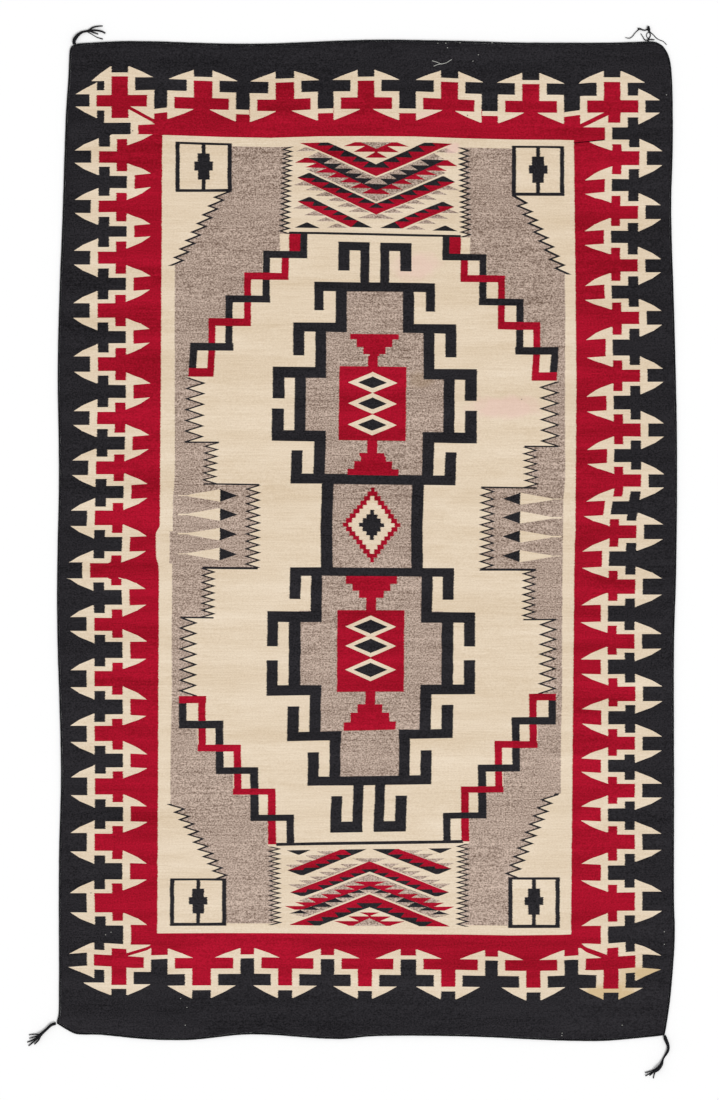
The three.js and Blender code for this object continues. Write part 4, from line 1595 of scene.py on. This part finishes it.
# The middle of each stain, how far it reaches across and along the rug, its tone and its strength.
STAINS = [
    dict(x=332, y=316, wide=105, high=34, tint=BLEED, strength=0.5),
    dict(x=118, y=655, wide=66, high=42, tint=BLEED, strength=0.45),
    dict(x=205, y=938, wide=22, high=16, tint=BLEED, strength=0.6),
    dict(x=145, y=1016, wide=40, high=16, tint=BLEED, strength=0.4),
    dict(x=583, y=-1092, wide=110, high=30, tint=SOIL, strength=0.75),
    dict(x=676, y=-1040, wide=52, high=28, tint=SOIL, strength=0.75),
    dict(x=624, y=-1050, wide=30, high=42, tint=SOIL, strength=0.4),
    dict(x=130, y=384, wide=40, high=24, tint=(150, 124, 92), strength=0.4),
]


def stained(shader, place, colour):
    """The colour with its stains, each a soft cloud with a ragged border."""
    ragged = shader.noise(shader.stretched(place, 0.04, 0.04), detail=3)
    for stain in STAINS:
        middle = (stain["x"], stain["y"], 0)
        apart = shader.add("ShaderNodeVectorMath", {0: place, 1: middle}, operation="SUBTRACT")
        apart = shader.stretched(apart, 1 / stain["wide"], 1 / stain["high"], 0)
        far = shader.add("ShaderNodeVectorMath", {0: apart}, output="Value", operation="LENGTH")
        inside = shader.maths("SUBTRACT", shader.maths("MULTIPLY_ADD", ragged, 0.8, 0.6), far)
        inside = shader.maths("MULTIPLY", inside, 2.0, clamp=True)
        share = shader.maths("MULTIPLY", inside, stain["strength"])
        colour = shader.mixed(share, colour, tone(*stain["tint"]))
    return colour


print("stains:", len(STAINS))

# %% [markdown]
# ## Each wool
# The colour is a mix of the wool's two tones. On the loom each weft bulges where it crosses a warp. As
# faces these beads would be millions, so here they are a bump and a slight shade in the hollows.

# %% Wool materials
WARP = 3.2  # mm between two warps
WEFT = 1.3  # mm between two wefts
LIGHT = 1.06  # how much light falls on the rug, so that its tones come out as named
# Every wool is made a little lighter, step by step, from the top of the rug to its foot.
LIGHTER_TOWARDS_FOOT = 0.00006  # how much lighter the wools get with each mm towards the foot

# The deep and the light tone, and how strongly streaks, bands and flecks move between them.
WOOLS = {
    "woven black wool": dict(deep=(17, 16, 19), light=(52, 50, 54), streak=0.7, band=0.7, fleck=3.2),
    "woven red wool": dict(deep=(134, 3, 22), light=(193, 18, 50), streak=0.9, band=1.2, fleck=2.6),
    "woven cream wool": dict(deep=(222, 199, 168), light=(249, 232, 209), streak=1.0, band=1.0, fleck=1.6),
    "woven grey wool": dict(deep=(106, 84, 70), light=(226, 203, 187), streak=1.0, band=0.3, fleck=3.2),
}


# How finely each noise changes, per mm across the rug and along it.
STREAKS = (0.014, 0.3)
BANDS = (0.0012, 0.022)
FLECKS = (0.26, 0.36)
DRIFT = (0.11, 0.11)
FUZZ = (1.1, 2.2)


def wool(name, deep, light, streak, band, fleck):
    shader = Shader(name)
    place = shader.add("ShaderNodeTexCoord", {}, output="Object")
    place = shader.stretched(place, 1000, 1000, 1000)  # millimetres
    apart = shader.tree.nodes.new("ShaderNodeSeparateXYZ")
    shader.give(apart, 0, place)

    streaks = shader.noise(shader.stretched(place, *STREAKS), detail=3, rough=0.6)
    bands = shader.noise(shader.stretched(place, *BANDS), detail=2)
    flecks = shader.noise(shader.stretched(place, *FLECKS), detail=3, rough=0.7)
    share = shader.maths("MULTIPLY_ADD", apart.outputs["Y"], -LIGHTER_TOWARDS_FOOT, 0.5)
    for amount, value in ((streak, streaks), (band, bands), (fleck, flecks)):
        moved = shader.maths("MULTIPLY_ADD", value, amount, -amount / 2)
        share = shader.maths("ADD", moved, share)
    share = shader.maths("ADD", share, 0.0, clamp=True)
    colour = shader.mixed(share, tone(*deep), tone(*light))
    if "cream" in name or "grey" in name:
        colour = stained(shader, place, colour)

    # Beads of weft over each warp, staggered from one weft to the next.
    drift = shader.noise(shader.stretched(place, *DRIFT), detail=1)
    across = shader.maths("DIVIDE", shader.maths("MULTIPLY_ADD", drift, 1.6, apart.outputs["X"]), WARP)
    along = shader.maths("DIVIDE", shader.maths("MULTIPLY_ADD", drift, 1.1, apart.outputs["Y"]), WEFT)
    odd = shader.maths("FLOORED_MODULO", shader.maths("FLOOR", along), 2.0)
    shifted = shader.maths("FRACT", shader.maths("MULTIPLY_ADD", odd, 0.5, across))
    bead = shader.maths("MULTIPLY", humped(shader, shifted), humped(shader, shader.maths("FRACT", along)))
    fuzz = shader.noise(shader.stretched(place, *FUZZ), detail=2, rough=0.7)
    height = shader.maths("MULTIPLY_ADD", fuzz, 0.6, bead)
    given = {"Height": height, "Distance": 0.0004, "Strength": 0.8}
    shader.give(shader.principled, "Normal", shader.add("ShaderNodeBump", given))

    # Painted shade: the colour is made darker in the hollows between the beads, and it is divided by LIGHT.
    painted_hollow_shade = shader.maths("MULTIPLY_ADD", bead, 0.3 / LIGHT, 0.86 / LIGHT)
    colour = shader.add("ShaderNodeVectorMath", {0: colour, "Scale": painted_hollow_shade}, operation="SCALE")
    shader.give(shader.principled, "Base Color", colour)
    shader.principled.inputs["Roughness"].default_value = 0.95
    shader.principled.inputs["Specular IOR Level"].default_value = 0.12
    return shader.material


def humped(shader, value):
    """0 at both ends of a bead and 1 in its middle."""
    centred = shader.maths("MULTIPLY_ADD", value, 2.0, -1.0)
    return shader.maths("SUBTRACT", 1.0, shader.maths("MULTIPLY", centred, centred))


for name, tones in WOOLS.items():
    cloth_mesh.materials.append(wool(name, **tones))
print("wools:", [material.name for material in cloth_mesh.materials])

# %% [markdown]
# ## Floor and light
# The rug was lit evenly on white. A white floor, an even white surround and one broad soft sun give
# that flat light, with a faint shadow along the edges. Lamps nearby would leave one end darker.

# %% The floor and the light
floor_mesh = bpy.data.meshes.new("floor")
SIDE = 9.0
corners = [(-SIDE, -SIDE, 0), (SIDE, -SIDE, 0), (SIDE, SIDE, 0), (-SIDE, SIDE, 0)]
floor_mesh.from_pydata(corners, [], [(0, 1, 2, 3)])
floor = bpy.data.objects.new("floor", floor_mesh)
bpy.context.scene.collection.objects.link(floor)
floor_mesh.materials.append(plain("white floor", (0.97, 0.97, 0.97, 1), rough=1.0, shine=0.0))

world = bpy.data.worlds.new("studio")
world.use_nodes = True
surround = world.node_tree.nodes["Background"].inputs
surround["Color"].default_value = (1, 1, 1, 1)
surround["Strength"].default_value = 0.62
bpy.context.scene.world = world
sun_data = bpy.data.lights.new("soft light", "SUN")
sun_data.energy = 1.65
sun_data.angle = math.radians(25)
sun = bpy.data.objects.new("soft light", sun_data)
sun.rotation_euler = (math.radians(38), 0, math.radians(35))
bpy.context.scene.collection.objects.link(sun)
bpy.context.scene.view_settings.view_transform = "Standard"
print("light: sun", sun_data.energy, "surround", round(surround["Strength"].default_value, 2))

# %% [markdown]
# ## Hand-over
# Every piece rides on the one body. The cloth, the cords and the tassels take the place of their
# solids, and the lint lies on the cloth.

# %% Hand the pieces over
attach(woven_cloth, "root")
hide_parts("rug_body")
for pieces in (cord_pieces, tassel_pieces):
    for node, piece in pieces.items():
        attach(piece, "root")
        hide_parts(node)
for piece in lint:
    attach(piece, "root")
print("pieces:", 1 + len(cord_pieces) + len(tassel_pieces) + len(lint))
